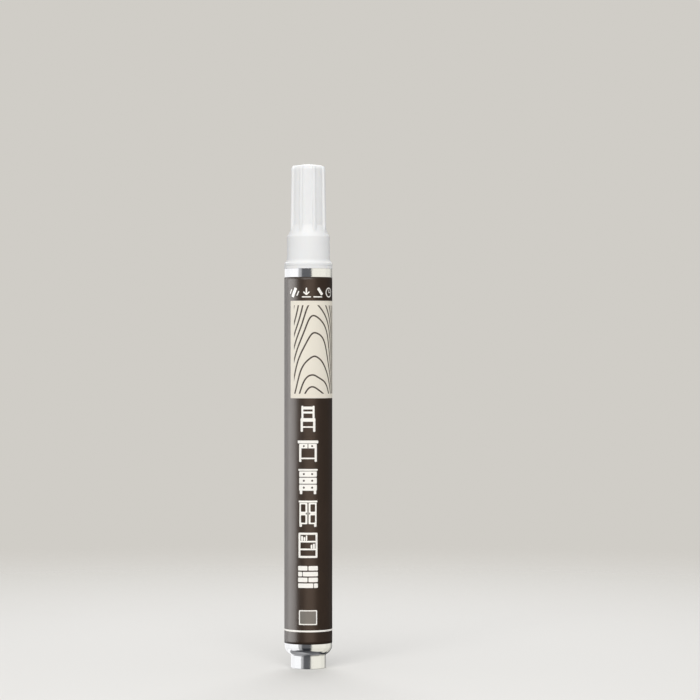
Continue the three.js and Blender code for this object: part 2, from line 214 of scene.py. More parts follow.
def shoulder_arc(wall):
    """The shoulder's arc, `wall` inside its outer face: its centre plus R - wall at angles from -sweep to 0.

    The outer arc leaves the straight wall tangentially and drops in to the tail, so its sweep is
    2 atan(drop / height) and its radius R is height / sin(sweep).
    """
    drop = barrel_radius - TAIL_RADIUS
    sweep = 2 * np.arctan(drop / SHOULDER_HEIGHT)
    radius = SHOULDER_HEIGHT / np.sin(sweep)
    angle = np.linspace(-sweep, 0, SHOULDER_STEPS)
    across = barrel_radius - radius + (radius - wall) * np.cos(angle)
    height = TAIL_HEIGHT + SHOULDER_HEIGHT + (radius - wall) * np.sin(angle)
    return unrounded(across, height)


def barrel_corners():
    """Base with its dish, tail, shoulder, wall, rim, and the same again inside."""
    outside, inside = shoulder_arc(0), shoulder_arc(BARREL_WALL)[::-1]
    outside[0] = (TAIL_RADIUS, TAIL_HEIGHT, TAIL_FILLET)
    bore = barrel_radius - BARREL_WALL
    base = [(0, DISH_DEPTH, 0), (DISH_RADIUS - DISH_DEPTH, DISH_DEPTH, DISH_ROUND),
            (DISH_RADIUS, 0, DISH_ROUND), (TAIL_RADIUS, 0, TAIL_EDGE_ROUND)]
    rim = [(barrel_radius, barrel_top, BARREL_RIM_ROUND), (bore, barrel_top, BARREL_RIM_ROUND)]
    pocket_top = inside[-1][1] - POCKET_EDGE_DROP
    pocket = [(POCKET_RADIUS, pocket_top, POCKET_EDGE_ROUND),
              (POCKET_RADIUS, POCKET_FLOOR, POCKET_FLOOR_ROUND), (0, POCKET_FLOOR, 0)]
    return base + outside + rim + inside + pocket


barrel_skin = turned_piece("barrel_skin", barrel_corners(), BARREL_COUNT)
barrel = dress(barrel_skin, "pen_body", "barrel")

# %% [markdown]
# ## The printed film
# The label is a thin film glued round the barrel, with its two edges a little apart at the back. It could
# be a material on the barrel, but a real film has its own edge, which catches the light at the top and the
# bottom. So it is a sheet of two grids, outside and inside, joined along their four borders. Its UV map is
# the flat label before it was wrapped: left to right round the pen, bottom to top along it.

# %% Film label
film_low, film_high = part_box("film_label")
FILM_THICKNESS = 0.08 * MM
FILM_GAP = np.radians(9)
FILM_COLUMNS = 241
FILM_ROWS = 116
film_radius = film_high.x
film_height = film_high.z - film_low.z
flat_width, flat_height = 2 * np.pi * film_radius / MM, film_height / MM


def sheet_faces(rows, columns):
    """Faces of a thick sheet: the outer grid, the inner grid turned over, and a strip along each border."""
    count = rows * columns
    outer = grid_faces(rows, columns)
    inner = outer[:, ::-1] + count
    index = np.arange(count).reshape(rows, columns)
    border = np.concatenate([index[:-1, 0], index[-1, :-1], index[:0:-1, -1], index[0, :0:-1]])
    following = np.roll(border, -1)
    strip = np.stack([border, border + count, following + count, following], axis=1)
    return np.concatenate([outer, inner, strip])


def film_piece():
    """Both faces are at (r sin a, -r cos a, z), with a from edge to edge and r a film's thickness apart."""
    angle = np.linspace(FILM_GAP - np.pi, np.pi, FILM_COLUMNS)[:, None]
    height = np.linspace(film_low.z, film_high.z, FILM_ROWS)
    outer = place(angle, film_radius, height)
    inner = place(angle, film_radius - FILM_THICKNESS, height)
    return mesh_piece("printed_label", np.stack([outer, inner]), sheet_faces(FILM_COLUMNS, FILM_ROWS))


def flat_label_uv(piece):
    """Writes the flat label's UV map: U is the angle from the back over a turn, V the height over all."""
    mesh = piece.data
    points = np.empty(len(mesh.vertices) * 3, np.float32)
    mesh.vertices.foreach_get("co", points)
    points = points.reshape(-1, 3)
    around = np.arctan2(points[:, 0], -points[:, 1]) / (2 * np.pi) + 0.5
    along = (points[:, 2] - film_low.z) / film_height
    corner = np.empty(len(mesh.loops), np.int32)
    mesh.loops.foreach_get("vertex_index", corner)
    layer = mesh.uv_layers.new(name="flat_label")
    layer.data.foreach_set("uv", np.stack([around, along], axis=1)[corner].ravel())


label = dress(film_piece(), "pen_body", "film_label")
flat_label_uv(label)
print(f"label: {flat_width:.1f} mm round and {flat_height:.1f} mm long")

# %% [markdown]
# ## The nose
# A white moulding plugs the barrel. With the cap on, only its flange shows, as the lower half of the white
# ring. With the cap off it is a stepped nose: a land that the cap slides on, with a low snap bead, a cone,
# a land for the seal, and a tapered tip round the nib. Six ribs in its bore hold the nib. They are made by
# pulling the bore's own points inwards where a rib is, which is why the profile is turned in numpy and not
# by a modifier.

# %% A smooth step and a ring of ribs
def smooth_step(low, high, value):
    """0 below low, 1 above high, and 3t^2 - 2t^3 between them."""
    t = np.clip((value - low) / (high - low), 0, 1)
    return t * t * (3 - 2 * t)


def rib_section(angle, count, first, radius, crest, foot):
    """How far up a rib each angle is: 1 within half a crest of the nearest rib, 0 beyond half a foot."""
    pitch = 2 * np.pi / count
    offset = (angle - first + pitch / 2) % pitch - pitch / 2
    return 1 - smooth_step(crest / 2, foot / 2, np.abs(offset) * radius)


# %% Sizes of the nose
plug_bottom, nose_top, flange_radius = extent(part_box("nose_holder"))
FLANGE_THICKNESS = 0.9
SEAM_ROUND = 0.1
UNDER_FLANGE_ROUND = 0.05
CAP_LAND_RADIUS = 5.25
CAP_LAND_HEIGHT = 8.2
CAP_LAND_FOOT_ROUND = 0.3
CAP_LAND_TOP_ROUND = 0.5
CAP_LAND_BEAD = 0.15
CAP_LAND_BEAD_WIDTH = 0.9
NOSE_CONE_HEIGHT = 2.6
NOSE_CONE_ROUND = 0.6
SEAL_LAND_RADIUS = 3.5
SEAL_LAND_HEIGHT = 5.6
NOSE_TIP_RADIUS = 3.0
NOSE_TIP_ROUND = 0.25
NOSE_BORE = 2.4
NOSE_BORE_ROUND = 0.2
PLUG_RADIUS = 6.86
PLUG_RELIEF = 0.16
PLUG_WALL = 1.1
PLUG_WALL_ROUND = 0.2
PLUG_CHAMFER = 0.4
PLUG_CHAMFER_ROUND = 0.1
PLUG_GROOVE_ROUND = 0.3
PLUG_BEAD_WIDTH = 1.2
VALVE_TUBE_RADIUS = 3.8
VALVE_TUBE_DEPTH = 6.5
VALVE_TUBE_BORE_ROUND = 0.1
VALVE_TUBE_EDGE_ROUND = 0.15
CAGE_SNAP_BEAD = 0.25
CAGE_SNAP_WIDTH = 0.8
CAGE_CLEAR = 0.25
BEAD_FOOT_ROUND = 0.15
BEAD_CREST_ROUND = 0.2
flange_top = barrel_top + FLANGE_THICKNESS
cap_land_top = flange_top + CAP_LAND_HEIGHT
seal_land_bottom = cap_land_top + NOSE_CONE_HEIGHT
seal_land_top = seal_land_bottom + SEAL_LAND_HEIGHT
valve_deck = barrel_top - VALVE_TUBE_DEPTH
plug_ceiling = barrel_top - FLANGE_THICKNESS
print(f"nose: {nose_top - flange_top:.1f} mm up from its flange, {barrel_top - plug_bottom:.1f} mm down")


# %% The nose's profile
def bead(radius, level, width, height):
    """A low rounded bead on a wall, as four corners from bottom to top."""
    half, slope, crest = width / 2, width / 4, radius + height
    return [(radius, level - half, BEAD_FOOT_ROUND), (crest, level - slope, BEAD_CREST_ROUND),
            (crest, level + slope, BEAD_CREST_ROUND), (radius, level + half, BEAD_FOOT_ROUND)]


def nose_corners():
    """Valve tube and plug below the flange, then the flange and the stepped nose, and back down the bore."""
    skirt = PLUG_RADIUS - PLUG_RELIEF
    bead_step = (barrel_top - plug_bottom) / 3
    snap_level = (valve_deck + plug_ceiling - CAGE_CLEAR) / 2
    tube = [(NOSE_BORE, valve_deck, VALVE_TUBE_BORE_ROUND),
            (VALVE_TUBE_RADIUS, valve_deck, VALVE_TUBE_EDGE_ROUND)]
    tube += bead(VALVE_TUBE_RADIUS, snap_level, CAGE_SNAP_WIDTH, CAGE_SNAP_BEAD)
    groove = [(VALVE_TUBE_RADIUS, plug_ceiling, PLUG_GROOVE_ROUND),
              (PLUG_RADIUS - PLUG_WALL, plug_ceiling, PLUG_GROOVE_ROUND)]
    plug = [(PLUG_RADIUS - PLUG_WALL, plug_bottom, PLUG_WALL_ROUND),
            (skirt - PLUG_CHAMFER, plug_bottom, PLUG_CHAMFER_ROUND),
            (skirt, plug_bottom + PLUG_CHAMFER, PLUG_CHAMFER_ROUND)]
    for level in (plug_bottom + bead_step, plug_bottom + 2 * bead_step):
        plug += bead(skirt, level, PLUG_BEAD_WIDTH, PLUG_RELIEF)
    flange = [(skirt, barrel_top, UNDER_FLANGE_ROUND), (flange_radius, barrel_top, BARREL_RIM_ROUND),
              (flange_radius, flange_top, SEAM_ROUND), (CAP_LAND_RADIUS, flange_top, CAP_LAND_FOOT_ROUND)]
    land = bead(CAP_LAND_RADIUS, flange_top + CAP_LAND_HEIGHT / 2, CAP_LAND_BEAD_WIDTH, CAP_LAND_BEAD)
    tip = [(CAP_LAND_RADIUS, cap_land_top, CAP_LAND_TOP_ROUND),
           (SEAL_LAND_RADIUS, seal_land_bottom, NOSE_CONE_ROUND),
           (SEAL_LAND_RADIUS, seal_land_top, NOSE_CONE_ROUND),
           (NOSE_TIP_RADIUS, nose_top, NOSE_TIP_ROUND), (NOSE_BORE, nose_top, NOSE_BORE_ROUND)]
    return tube + groove + plug + flange + land + tip


# %% Nose holder
NOSE_COUNT = 240
NOSE_STEP = 0.8
GRIP_RIBS = 6
GRIP_RIB_TURN = np.pi / 2
GRIP_RIB_RADIUS = 2.08
GRIP_RIB_CREST = 0.5
GRIP_RIB_FOOT = 0.9
GRIP_RIB_LENGTH = 14
GRIP_RIB_DROP = 0.3
GRIP_RIB_RUN_IN = 0.4
GRIP_RIB_RUN_OUT = 0.3
BORE_MARGIN = 1.01


def nose_piece():
    """The turned nose, its bore pulled in to the nib's ribs: r = bore - (bore - rib) section stretch."""
    radius, height = rounded_profile(closed(nose_corners()), NOSE_STEP).T
    angle = full_turn(NOSE_COUNT)
    section = rib_section(angle, GRIP_RIBS, GRIP_RIB_TURN, NOSE_BORE, GRIP_RIB_CREST, GRIP_RIB_FOOT)
    rib_top = nose_top - GRIP_RIB_DROP
    rib_bottom = rib_top - GRIP_RIB_LENGTH
    stretch = smooth_step(rib_bottom, rib_bottom + GRIP_RIB_RUN_IN, height / MM)
    stretch = stretch * (1 - smooth_step(rib_top - GRIP_RIB_RUN_OUT, rib_top, height / MM))
    stretch = stretch * (radius < NOSE_BORE * MM * BORE_MARGIN)
    pulled = radius - (NOSE_BORE - GRIP_RIB_RADIUS) * MM * section * stretch
    return ring_piece("nose_moulding", place(angle, pulled, height))


nose = dress(nose_piece(), "pen_body", "nose_holder")

# %% [markdown]
# ## The cap
# The cap is the piece that a hand knows best: a flared rim, a plain lower stage, a sloping shoulder, and an
# upper stage with eight narrow ribs that run out on the shoulder. The turned body has no ribs. Each of its
# outside points is pushed out to the ribs' crest line, by as much as its angle is on a rib, and not at all
# where the shoulder is already wider than the crest. That makes the pointed feet of the ribs by itself.

# %% Sizes of the cap
cap_bottom, cap_top, _ = extent(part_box("cap_shell"))
CAP_RIM_HEIGHT = 0.8
CAP_RIM_ROUND = 0.2
CAP_FLARE_HEIGHT = 1.25
CAP_FLARE_ROUND = 0.7
CAP_LOWER_RADIUS = 6.72
CAP_LOWER_HEIGHT = 7.1
CAP_LOWER_DRAFT = 0.05
CAP_LOWER_ROUND = 0.22
CAP_SHOULDER_HEIGHT = 3.6
CAP_SHOULDER_WAIST = 5.75
CAP_SHOULDER_WAIST_HEIGHT = 1.3
CAP_SHOULDER_STEPS = 14
CAP_PANEL_RADIUS = 5.2
CAP_PANEL_DRAFT = 0.15
CAP_PANEL_ROUND = 0.25
CAP_TOP_THICKNESS = 1.3
CAP_TOP_ROUND = 1.1
CAP_TOP_CROWN = 0.5
CAP_CROWN_STEPS = 10
CAP_BORE = 5.5
CAP_BORE_CLEAR = 0.2
CAP_BORE_ROUND = 0.4
CAP_MOUTH_ROUND = 0.25
CAP_UPPER_BORE = 4.0
CAP_UPPER_BORE_ROUND = 0.3
cap_lower_bottom = cap_bottom + CAP_RIM_HEIGHT + CAP_FLARE_HEIGHT
cap_lower_top = cap_lower_bottom + CAP_LOWER_HEIGHT
cap_lower_top_radius = CAP_LOWER_RADIUS - CAP_LOWER_DRAFT
cap_panel_bottom = cap_lower_top + CAP_SHOULDER_HEIGHT
cap_panel_top_radius = CAP_PANEL_RADIUS - CAP_PANEL_DRAFT
cap_ceiling = cap_top - CAP_TOP_THICKNESS
cap_crown_edge = cap_panel_top_radius - CAP_TOP_ROUND
cap_crown_foot = cap_top - CAP_TOP_CROWN
print(f"cap: {cap_top - cap_bottom:.1f} mm tall, its panels from {cap_panel_bottom - cap_bottom:.1f} mm up")


# %% The cap's profile
def shoulder_slope():
    """The shoulder's parabola from the lower stage A by its waist W to the panels B.

    It is (1-t)^2 A + 2 t (1-t) W + t^2 B without its two ends.
    """
    t = np.linspace(0, 1, CAP_SHOULDER_STEPS)[1:-1, None]
    start = np.array([cap_lower_top_radius, cap_lower_top])
    waist = np.array([CAP_SHOULDER_WAIST, cap_lower_top + CAP_SHOULDER_WAIST_HEIGHT])
    end = np.array([CAP_PANEL_RADIUS, cap_panel_bottom])
    slope = (1 - t) ** 2 * start + 2 * t * (1 - t) * waist + t ** 2 * end
    return unrounded(*slope.T)


def cap_crown():
    """The top from its corner to the middle: z = top - crown (r / edge)^2, a parabola turned round the axis.

    The corner lies where the parabola's tangent at its edge, carried on outwards, meets the wall.
    """
    corner = cap_crown_foot - 2 * CAP_TOP_CROWN * CAP_TOP_ROUND / cap_crown_edge
    radius = np.linspace(cap_crown_edge, 0, CAP_CROWN_STEPS)
    height = cap_top - CAP_TOP_CROWN * (radius / cap_crown_edge) ** 2
    return [(cap_panel_top_radius, corner, CAP_TOP_ROUND)] + unrounded(radius, height)


def cap_inside():
    """From the middle of the ceiling down the bore to the mouth."""
    bore_top = cap_land_top + CAP_BORE_CLEAR
    return [(0, cap_ceiling, 0), (CAP_UPPER_BORE, cap_ceiling, CAP_UPPER_BORE_ROUND),
            (CAP_UPPER_BORE, bore_top + NOSE_CONE_HEIGHT, CAP_UPPER_BORE_ROUND),
            (CAP_BORE, bore_top, CAP_BORE_ROUND), (CAP_BORE, cap_bottom, CAP_MOUTH_ROUND)]


def cap_outside():
    """From the mouth up the rim, flare, lower stage, shoulder and panels to the middle of the top."""
    rim = [(flange_radius, cap_bottom, SEAM_ROUND),
           (flange_radius, cap_bottom + CAP_RIM_HEIGHT, CAP_RIM_ROUND)]
    stage = [(CAP_LOWER_RADIUS, cap_lower_bottom - CAP_FLARE_ROUND, CAP_FLARE_ROUND),
             (cap_lower_top_radius, cap_lower_top, CAP_LOWER_ROUND)]
    panel = [(CAP_PANEL_RADIUS, cap_panel_bottom, CAP_PANEL_ROUND)]
    return rim + stage + shoulder_slope() + panel + cap_crown()


# %% Cap
CAP_COUNT = 400
CAP_INSIDE_STEP = 1.2
CAP_OUTSIDE_STEP = 0.3
CAP_RIBS = 8
CAP_RIB_TURN = np.radians(21)
CAP_RIB_HEIGHT = 0.65
CAP_RIB_TOP_HEIGHT = 0.5
CAP_RIB_CREST = 0.45
CAP_RIB_FOOT = 1.5
CAP_RIB_FADE = 0.9
CAP_RIB_SOFTNESS = 0.04


def soft_positive(value, softness):
    """max(value, 0) with its corner rounded: (value + sqrt(value^2 + softness^2)) / 2.

    Half a softness is taken off again at 0, and less and less of it on both sides.
    """
    rounded = 0.5 * (value + np.sqrt(value ** 2 + softness ** 2))
    return rounded - 0.5 * softness * np.exp(-np.abs(value) / softness)


def crest_line(height):
    """The ribs' crest radius at a height: a straight draft from the shoulder up, rounded over at the top."""
    rise = (height - cap_panel_bottom) / (cap_crown_foot - cap_panel_bottom)
    low, high = CAP_PANEL_RADIUS + CAP_RIB_HEIGHT, cap_panel_top_radius + CAP_RIB_TOP_HEIGHT
    into_round = np.clip(height - (cap_crown_foot - CAP_TOP_ROUND), 0, CAP_TOP_ROUND)
    return low + (high - low) * rise - (CAP_TOP_ROUND - np.sqrt(CAP_TOP_ROUND ** 2 - into_round ** 2))


def cap_piece():
    """The body's radius plus the rib's share of the way out to the crest line, faded out on the crown."""
    inside = rounded_profile(cap_inside(), CAP_INSIDE_STEP)
    profile = np.concatenate([inside, rounded_profile(cap_outside(), CAP_OUTSIDE_STEP)])
    radius, height = profile.T / MM
    angle = full_turn(CAP_COUNT)
    section = rib_section(angle, CAP_RIBS, CAP_RIB_TURN, CAP_PANEL_RADIUS, CAP_RIB_CREST, CAP_RIB_FOOT)
    on_outside = np.arange(len(profile)) >= len(inside)
    on_wall = smooth_step(cap_crown_edge - CAP_RIB_FADE, cap_crown_edge, radius)
    push = soft_positive(crest_line(height) - radius, CAP_RIB_SOFTNESS)
    push = push * on_wall * on_outside * (height > cap_lower_top)
    return ring_piece("cap_moulding", place(angle, (radius + section * push) * MM, height * MM))


cap = dress(cap_piece(), "cap", "cap_shell")

# %% [markdown]
# ## Inside the cap and the nose
# A thin soft cup in the cap seals round the nose, so that the nib can't dry out. The nib is a rod of
# pressed fibre with a bullet point, an ellipse turned round the axis.

# %% Inner cap
inner_bottom, inner_top, inner_radius = extent(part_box("inner_cap"))
INNER_COUNT = 120
INNER_WALL = 0.4
INNER_TOP = 0.5
INNER_LIP = 0.6
INNER_CEILING_ROUND = 0.4
INNER_BORE_ROUND = 0.1
INNER_LIP_ROUND = 0.08
INNER_TOP_ROUND = 0.15


def inner_cap_corners():
    """From the ceiling's underside down the bore, round the lip, and up the outside to the top's middle."""
    bore, ceiling = inner_radius - INNER_WALL, inner_top - INNER_TOP
    return [(0, ceiling, 0), (bore, ceiling, INNER_CEILING_ROUND),
            (bore, inner_bottom + INNER_LIP, INNER_BORE_ROUND),
            (inner_radius - INNER_WALL / 2, inner_bottom, INNER_LIP_ROUND),
            (inner_radius, inner_bottom, INNER_LIP_ROUND), (inner_radius, inner_top, INNER_TOP_ROUND),
            (0, inner_top, 0)]


sealing_cup = turned_piece("sealing_cup", inner_cap_corners(), INNER_COUNT)
inner_cap = dress(sealing_cup, "cap", "inner_cap")

# %% Nib
nib_bottom, nib_top, nib_radius = extent(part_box("nib"))
NIB_COUNT = 96
NIB_POINT = 3.4
NIB_POINT_STEPS = 24
NIB_CHAMFER = 0.3
NIB_CHAMFER_ROUND = 0.1


def nib_corners():
    """Tail with its chamfer, straight rod, then the point: r = R cos t and z = foot + point sin t."""
    t = np.linspace(0, np.pi / 2, NIB_POINT_STEPS)
    point = unrounded(nib_radius * np.cos(t), nib_top - NIB_POINT + NIB_POINT * np.sin(t))
    point[-1] = (0, nib_top, 0)
    return [(0, nib_bottom, 0), (nib_radius - NIB_CHAMFER, nib_bottom, NIB_CHAMFER_ROUND),
            (nib_radius, nib_bottom + NIB_CHAMFER, NIB_CHAMFER_ROUND)] + point


nib = dress(turned_piece("fibre_nib", nib_corners(), NIB_COUNT), "nib", "nib")

# %% [markdown]
# ## The valve and the ball
# Behind the nib sits a poppet valve: a rubber seat, a stem that the nib pushes, a spring, and a slotted
# cage. A loose steel ball stirs the paint. None of them shows, but the model can be taken apart, so the
# round ones get smooth surfaces too. The cage and the stem keep their solids, whose flat windows and
# cross-shaped rod are right already.

# %% Valve seat
seat_bottom, seat_top, seat_radius = extent(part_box("valve_seat"))
SEAT_COUNT = 96
SEAT_STEP = 0.3
SEAT_BORE = 1.8
SEAT_CHAMFER = 0.75
SEAT_CHAMFER_ROUND = 0.1
SEAT_EDGE_ROUND = 0.12


def seat_corners():
    """A washer with a chamfer under its bore for the stem's cone."""
    return [(SEAT_BORE + SEAT_CHAMFER, seat_bottom, SEAT_CHAMFER_ROUND),
            (seat_radius, seat_bottom, SEAT_EDGE_ROUND), (seat_radius, seat_top, SEAT_EDGE_ROUND),
            (SEAT_BORE, seat_top, SEAT_EDGE_ROUND),
            (SEAT_BORE, seat_bottom + SEAT_CHAMFER, SEAT_CHAMFER_ROUND)]


seat_washer = turned_piece("seat_washer", closed(seat_corners()), SEAT_COUNT, SEAT_STEP)
seat = dress(seat_washer, "pen_body", "valve_seat")

# %% Valve spring
spring_low, spring_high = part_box("valve_spring")
SPRING_WIRE = 0.5 * MM
SPRING_RADIUS = 2.2 * MM
SPRING_TURNS = 8
SPRING_END_RISE = 2 * SPRING_WIRE
SPRING_STEPS = 48
WIRE_SIDES = 14


def spring_piece():
    """A wire on a helix: centre (R cos u, R sin u, rise(u)) plus wire radius times cos v out and sin v up.

    The first and the last turn rise by two wires each, and the turns between share the rest evenly.
    """
    turn = np.linspace(0, SPRING_TURNS, SPRING_TURNS * SPRING_STEPS + 1)
    turn = np.concatenate([turn[:1], turn, turn[-1:]])
    bottom, top = spring_low.z + SPRING_WIRE / 2, spring_high.z - SPRING_WIRE / 2
    rise = np.interp(turn, [0, 1, SPRING_TURNS - 1, SPRING_TURNS],
                     [bottom, bottom + SPRING_END_RISE, top - SPRING_END_RISE, top])[:, None]
    u = (2 * np.pi * turn)[:, None]
    v = np.linspace(0, 2 * np.pi, WIRE_SIDES, endpoint=False)
    ends = np.ones_like(u)
    ends[[0, -1]] = 0
    out = SPRING_RADIUS + SPRING_WIRE / 2 * np.cos(v) * ends
    up = rise + SPRING_WIRE / 2 * np.sin(v) * ends
    points = np.stack([out * np.cos(u), out * np.sin(u), up], axis=-1)
    return mesh_piece("spring_wire", points, grid_faces(len(points), WIRE_SIDES, wrap_columns=True))


spring = dress(spring_piece(), "pen_body", "valve_spring")
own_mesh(spring)

# %% Mixing ball
ball_bottom, ball_top, _ = extent(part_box("mixing_ball"))
BALL_COUNT = 80
BALL_STEPS = 40


def ball_corners():
    """Half a circle from the lowest point to the highest: r = R cos t and z = middle + R sin t."""
    radius, middle = (ball_top - ball_bottom) / 2, (ball_top + ball_bottom) / 2
    t = np.linspace(-np.pi / 2, np.pi / 2, BALL_STEPS)
    corners = unrounded(radius * np.cos(t), middle + radius * np.sin(t))
    corners[0], corners[-1] = (0, ball_bottom, 0), (0, ball_top, 0)
    return corners


steel_ball = turned_piece("steel_ball", ball_corners(), BALL_COUNT)
ball = dress(steel_ball, "mixing_ball", "mixing_ball")

# %% [markdown]
# ## Helpers for node materials
# A material is a small graph. These helpers add a node and fill or link its inputs in one line, and make
# node groups. A group is used where finishes share an effect, or where one finish needs it many times. It
# puts out masks and heights only, and the shader itself stays in each material.

# %% Nodes
def add_node(tree, kind, inputs=None, **settings):
    """Adds a node, sets its properties, and fills each input with a value or links it to a socket."""
    made = tree.nodes.new(kind)
    for name, value in settings.items():
        setattr(made, name, value)
    for name, value in (inputs or {}).items():
        if isinstance(value, bpy.types.NodeSocket):
            tree.links.new(value, made.inputs[name])
        else:
            made.inputs[name].default_value = value
    return made


def math_node(tree, operation, first, second=0.0, third=0.0):
    """One arithmetic step on one, two or three values."""
    return add_node(tree, "ShaderNodeMath", {0: first, 1: second, 2: third}, operation=operation).outputs[0]


def vector_node(tree, operation, first, second=(0, 0, 0)):
    """One step of vector arithmetic, axis by axis."""
    return add_node(tree, "ShaderNodeVectorMath", {0: first, 1: second}, operation=operation).outputs[0]


def length_node(tree, vector):
    """The length of a vector."""
    return add_node(tree, "ShaderNodeVectorMath", {0: vector}, operation="LENGTH").outputs["Value"]


def noise_node(tree, position, scale, detail):
    """A noise from 0 to 1 at a position."""
    inputs = {"Vector": position, "Scale": scale, "Detail": detail}
    return add_node(tree, "ShaderNodeTexNoise", inputs).outputs[0]


def ramp_node(tree, value, low, high, to_low=0.0, to_high=1.0):
    """A value mapped smoothly from low..high to to_low..to_high, and held there beyond them."""
    inputs = {"Value": value, "From Min": low, "From Max": high, "To Min": to_low, "To Max": to_high}
    return add_node(tree, "ShaderNodeMapRange", inputs, interpolation_type="SMOOTHSTEP").outputs[0]


def mix_colour(tree, share, first, second):
    """Two colours, each a socket or three channels, mixed by a share from 0 to 1."""
    first, second = [c if isinstance(c, bpy.types.NodeSocket) else (*c, 1) for c in (first, second)]
    inputs = {"Factor": share, 6: first, 7: second}
    return add_node(tree, "ShaderNodeMix", inputs, data_type="RGBA").outputs[2]


def scaled(channels, factor):
    """Three channels, each times a factor."""
    return tuple(factor * channel for channel in channels)


# %% Groups and materials
VECTOR_INPUT = ("NodeSocketVector", (0, 0, 0))


def new_group(name, inputs, outputs):
    """A shader node group with named inputs of (kind, default) and named outputs, and its two end nodes."""
    tree = bpy.data.node_groups.new(name, "ShaderNodeTree")
    for title, (kind, default) in inputs.items():
        socket = tree.interface.new_socket(title, in_out="INPUT", socket_type=kind)
        socket.default_value = default
    for title in outputs:
        tree.interface.new_socket(title, in_out="OUTPUT", socket_type="NodeSocketFloat")
    return tree, tree.nodes.new("NodeGroupInput").outputs, tree.nodes.new("NodeGroupOutput").inputs


def use_group(tree, group, inputs):
    """Places a group in a material with its own values."""
    return add_node(tree, "ShaderNodeGroup", inputs, node_tree=group).outputs


def new_material(name):
    """A material with a Principled BSDF, as its node tree, its shader's inputs and Object coordinates."""
    made = bpy.data.materials.new(name)
    made.use_nodes = True
    tree = made.node_tree
    shader = tree.nodes["Principled BSDF"].inputs
    where = add_node(tree, "ShaderNodeTexCoord").outputs["Object"]
    return made, tree, shader, where


def bump(tree, shader, height, distance):
    """Links a height to the shader's normal through a Bump node."""
    inputs = {"Height": height, "Distance": distance}
    tree.links.new(add_node(tree, "ShaderNodeBump", inputs).outputs[0], shader["Normal"])


# %% [markdown]
# ## Effects that several finishes share
# Drawn lines run lengthwise on metal and fibre. Moulded skin is the fine grain of a plastic part. Handling
# is the faint, broad smudging of anything that has been held. Each is one group.

# %% Drawn lines, moulded skin and handling
LINE_STRETCH = (9000, 9000, 90)
LINE_DETAIL = 3.0
SKIN_DETAIL = 2.0
DRIFT_SCALE = 120.0
DRIFT_DETAIL = 2.0
DRIFT_RANGE = (0.3, 0.7)
SMUDGE_SCALE = 70.0
SMUDGE_DETAIL = 1.0
SMUDGE_RANGE = (0.45, 0.75)
SMUDGE_FINE_SCALE = 420.0
SMUDGE_FINE_DETAIL = 3.0


def make_drawn_lines():
    """Noise squeezed round the pen and stretched along it, so that it becomes lengthwise lines."""
    inputs = {"Position": VECTOR_INPUT, "Fineness": ("NodeSocketFloat", 1.0)}
    tree, given, out = new_group("Drawn lines", inputs, ["Height"])
    stretched = vector_node(tree, "MULTIPLY", given["Position"], LINE_STRETCH)
    tree.links.new(noise_node(tree, stretched, given["Fineness"], LINE_DETAIL), out["Height"])
    return tree


def make_moulded_skin():
    """Fine grain for the height, and a slow drift for the colour, as where melt cooled a little unevenly."""
    inputs = {"Position": VECTOR_INPUT, "Grain": ("NodeSocketFloat", 4000.0)}
    tree, given, out = new_group("Moulded skin", inputs, ["Height", "Drift"])
    tree.links.new(noise_node(tree, given["Position"], given["Grain"], SKIN_DETAIL), out["Height"])
    drift = noise_node(tree, given["Position"], DRIFT_SCALE, DRIFT_DETAIL)
    tree.links.new(ramp_node(tree, drift, *DRIFT_RANGE), out["Drift"])
    return tree


def make_handling():
    """Broad smudges from two noises multiplied, strongest where both are high."""
    tree, given, out = new_group("Handling", {"Position": VECTOR_INPUT}, ["Smudge"])
    broad = noise_node(tree, given["Position"], SMUDGE_SCALE, SMUDGE_DETAIL)
    broad = ramp_node(tree, broad, *SMUDGE_RANGE)
    fine = noise_node(tree, given["Position"], SMUDGE_FINE_SCALE, SMUDGE_FINE_DETAIL)
    tree.links.new(math_node(tree, "MULTIPLY", broad, fine), out["Smudge"])
    return tree


drawn_lines, moulded_skin, handling = make_drawn_lines(), make_moulded_skin(), make_handling()
print("groups:", [group.name for group in bpy.data.node_groups])


# %% Smudged gloss
def smudged_gloss(tree, shader, where, amount, roughness):
    """Feeds the shader a roughness raised by an amount of the smudges, and gives the smudges back."""
    smudge = use_group(tree, handling, {"Position": where})["Smudge"]
    tree.links.new(math_node(tree, "MULTIPLY_ADD", smudge, amount, roughness), shader["Roughness"])
    return smudge


# %% [markdown]
# ## Aluminium
# The barrel is bright drawn metal: nearly a mirror, with faint lengthwise lines and a few smudges. The lines
# go into the roughness as well as the bump, so that reflections have a soft lengthwise edge.

# %% Aluminium finish
ALUMINIUM_DIM = (0.76, 0.765, 0.78)
ALUMINIUM_BRIGHT = (0.86, 0.86, 0.865)
ALUMINIUM_ROUGHNESS = 0.09
ALUMINIUM_LINE_ROUGHNESS = 0.10
ALUMINIUM_SMUDGE_ROUGHNESS = 0.10
ALUMINIUM_RELIEF = 0.004 * MM


def aluminium_finish():
    """Bright metal whose roughness follows the drawn lines and the smudges."""
    made, tree, shader, where = new_material("drawn_aluminium")
    lines = use_group(tree, drawn_lines, {"Position": where, "Fineness": 1.0})["Height"]
    roughness = math_node(tree, "MULTIPLY_ADD", lines, ALUMINIUM_LINE_ROUGHNESS, ALUMINIUM_ROUGHNESS)
    smudged_gloss(tree, shader, where, ALUMINIUM_SMUDGE_ROUGHNESS, roughness)
    tree.links.new(mix_colour(tree, lines, ALUMINIUM_DIM, ALUMINIUM_BRIGHT), shader["Base Color"])
    shader["Metallic"].default_value = 1.0
    bump(tree, shader, lines, ALUMINIUM_RELIEF)
    return made


barrel.data.materials.append(aluminium_finish())
print("finish:", barrel.data.materials[0].name)

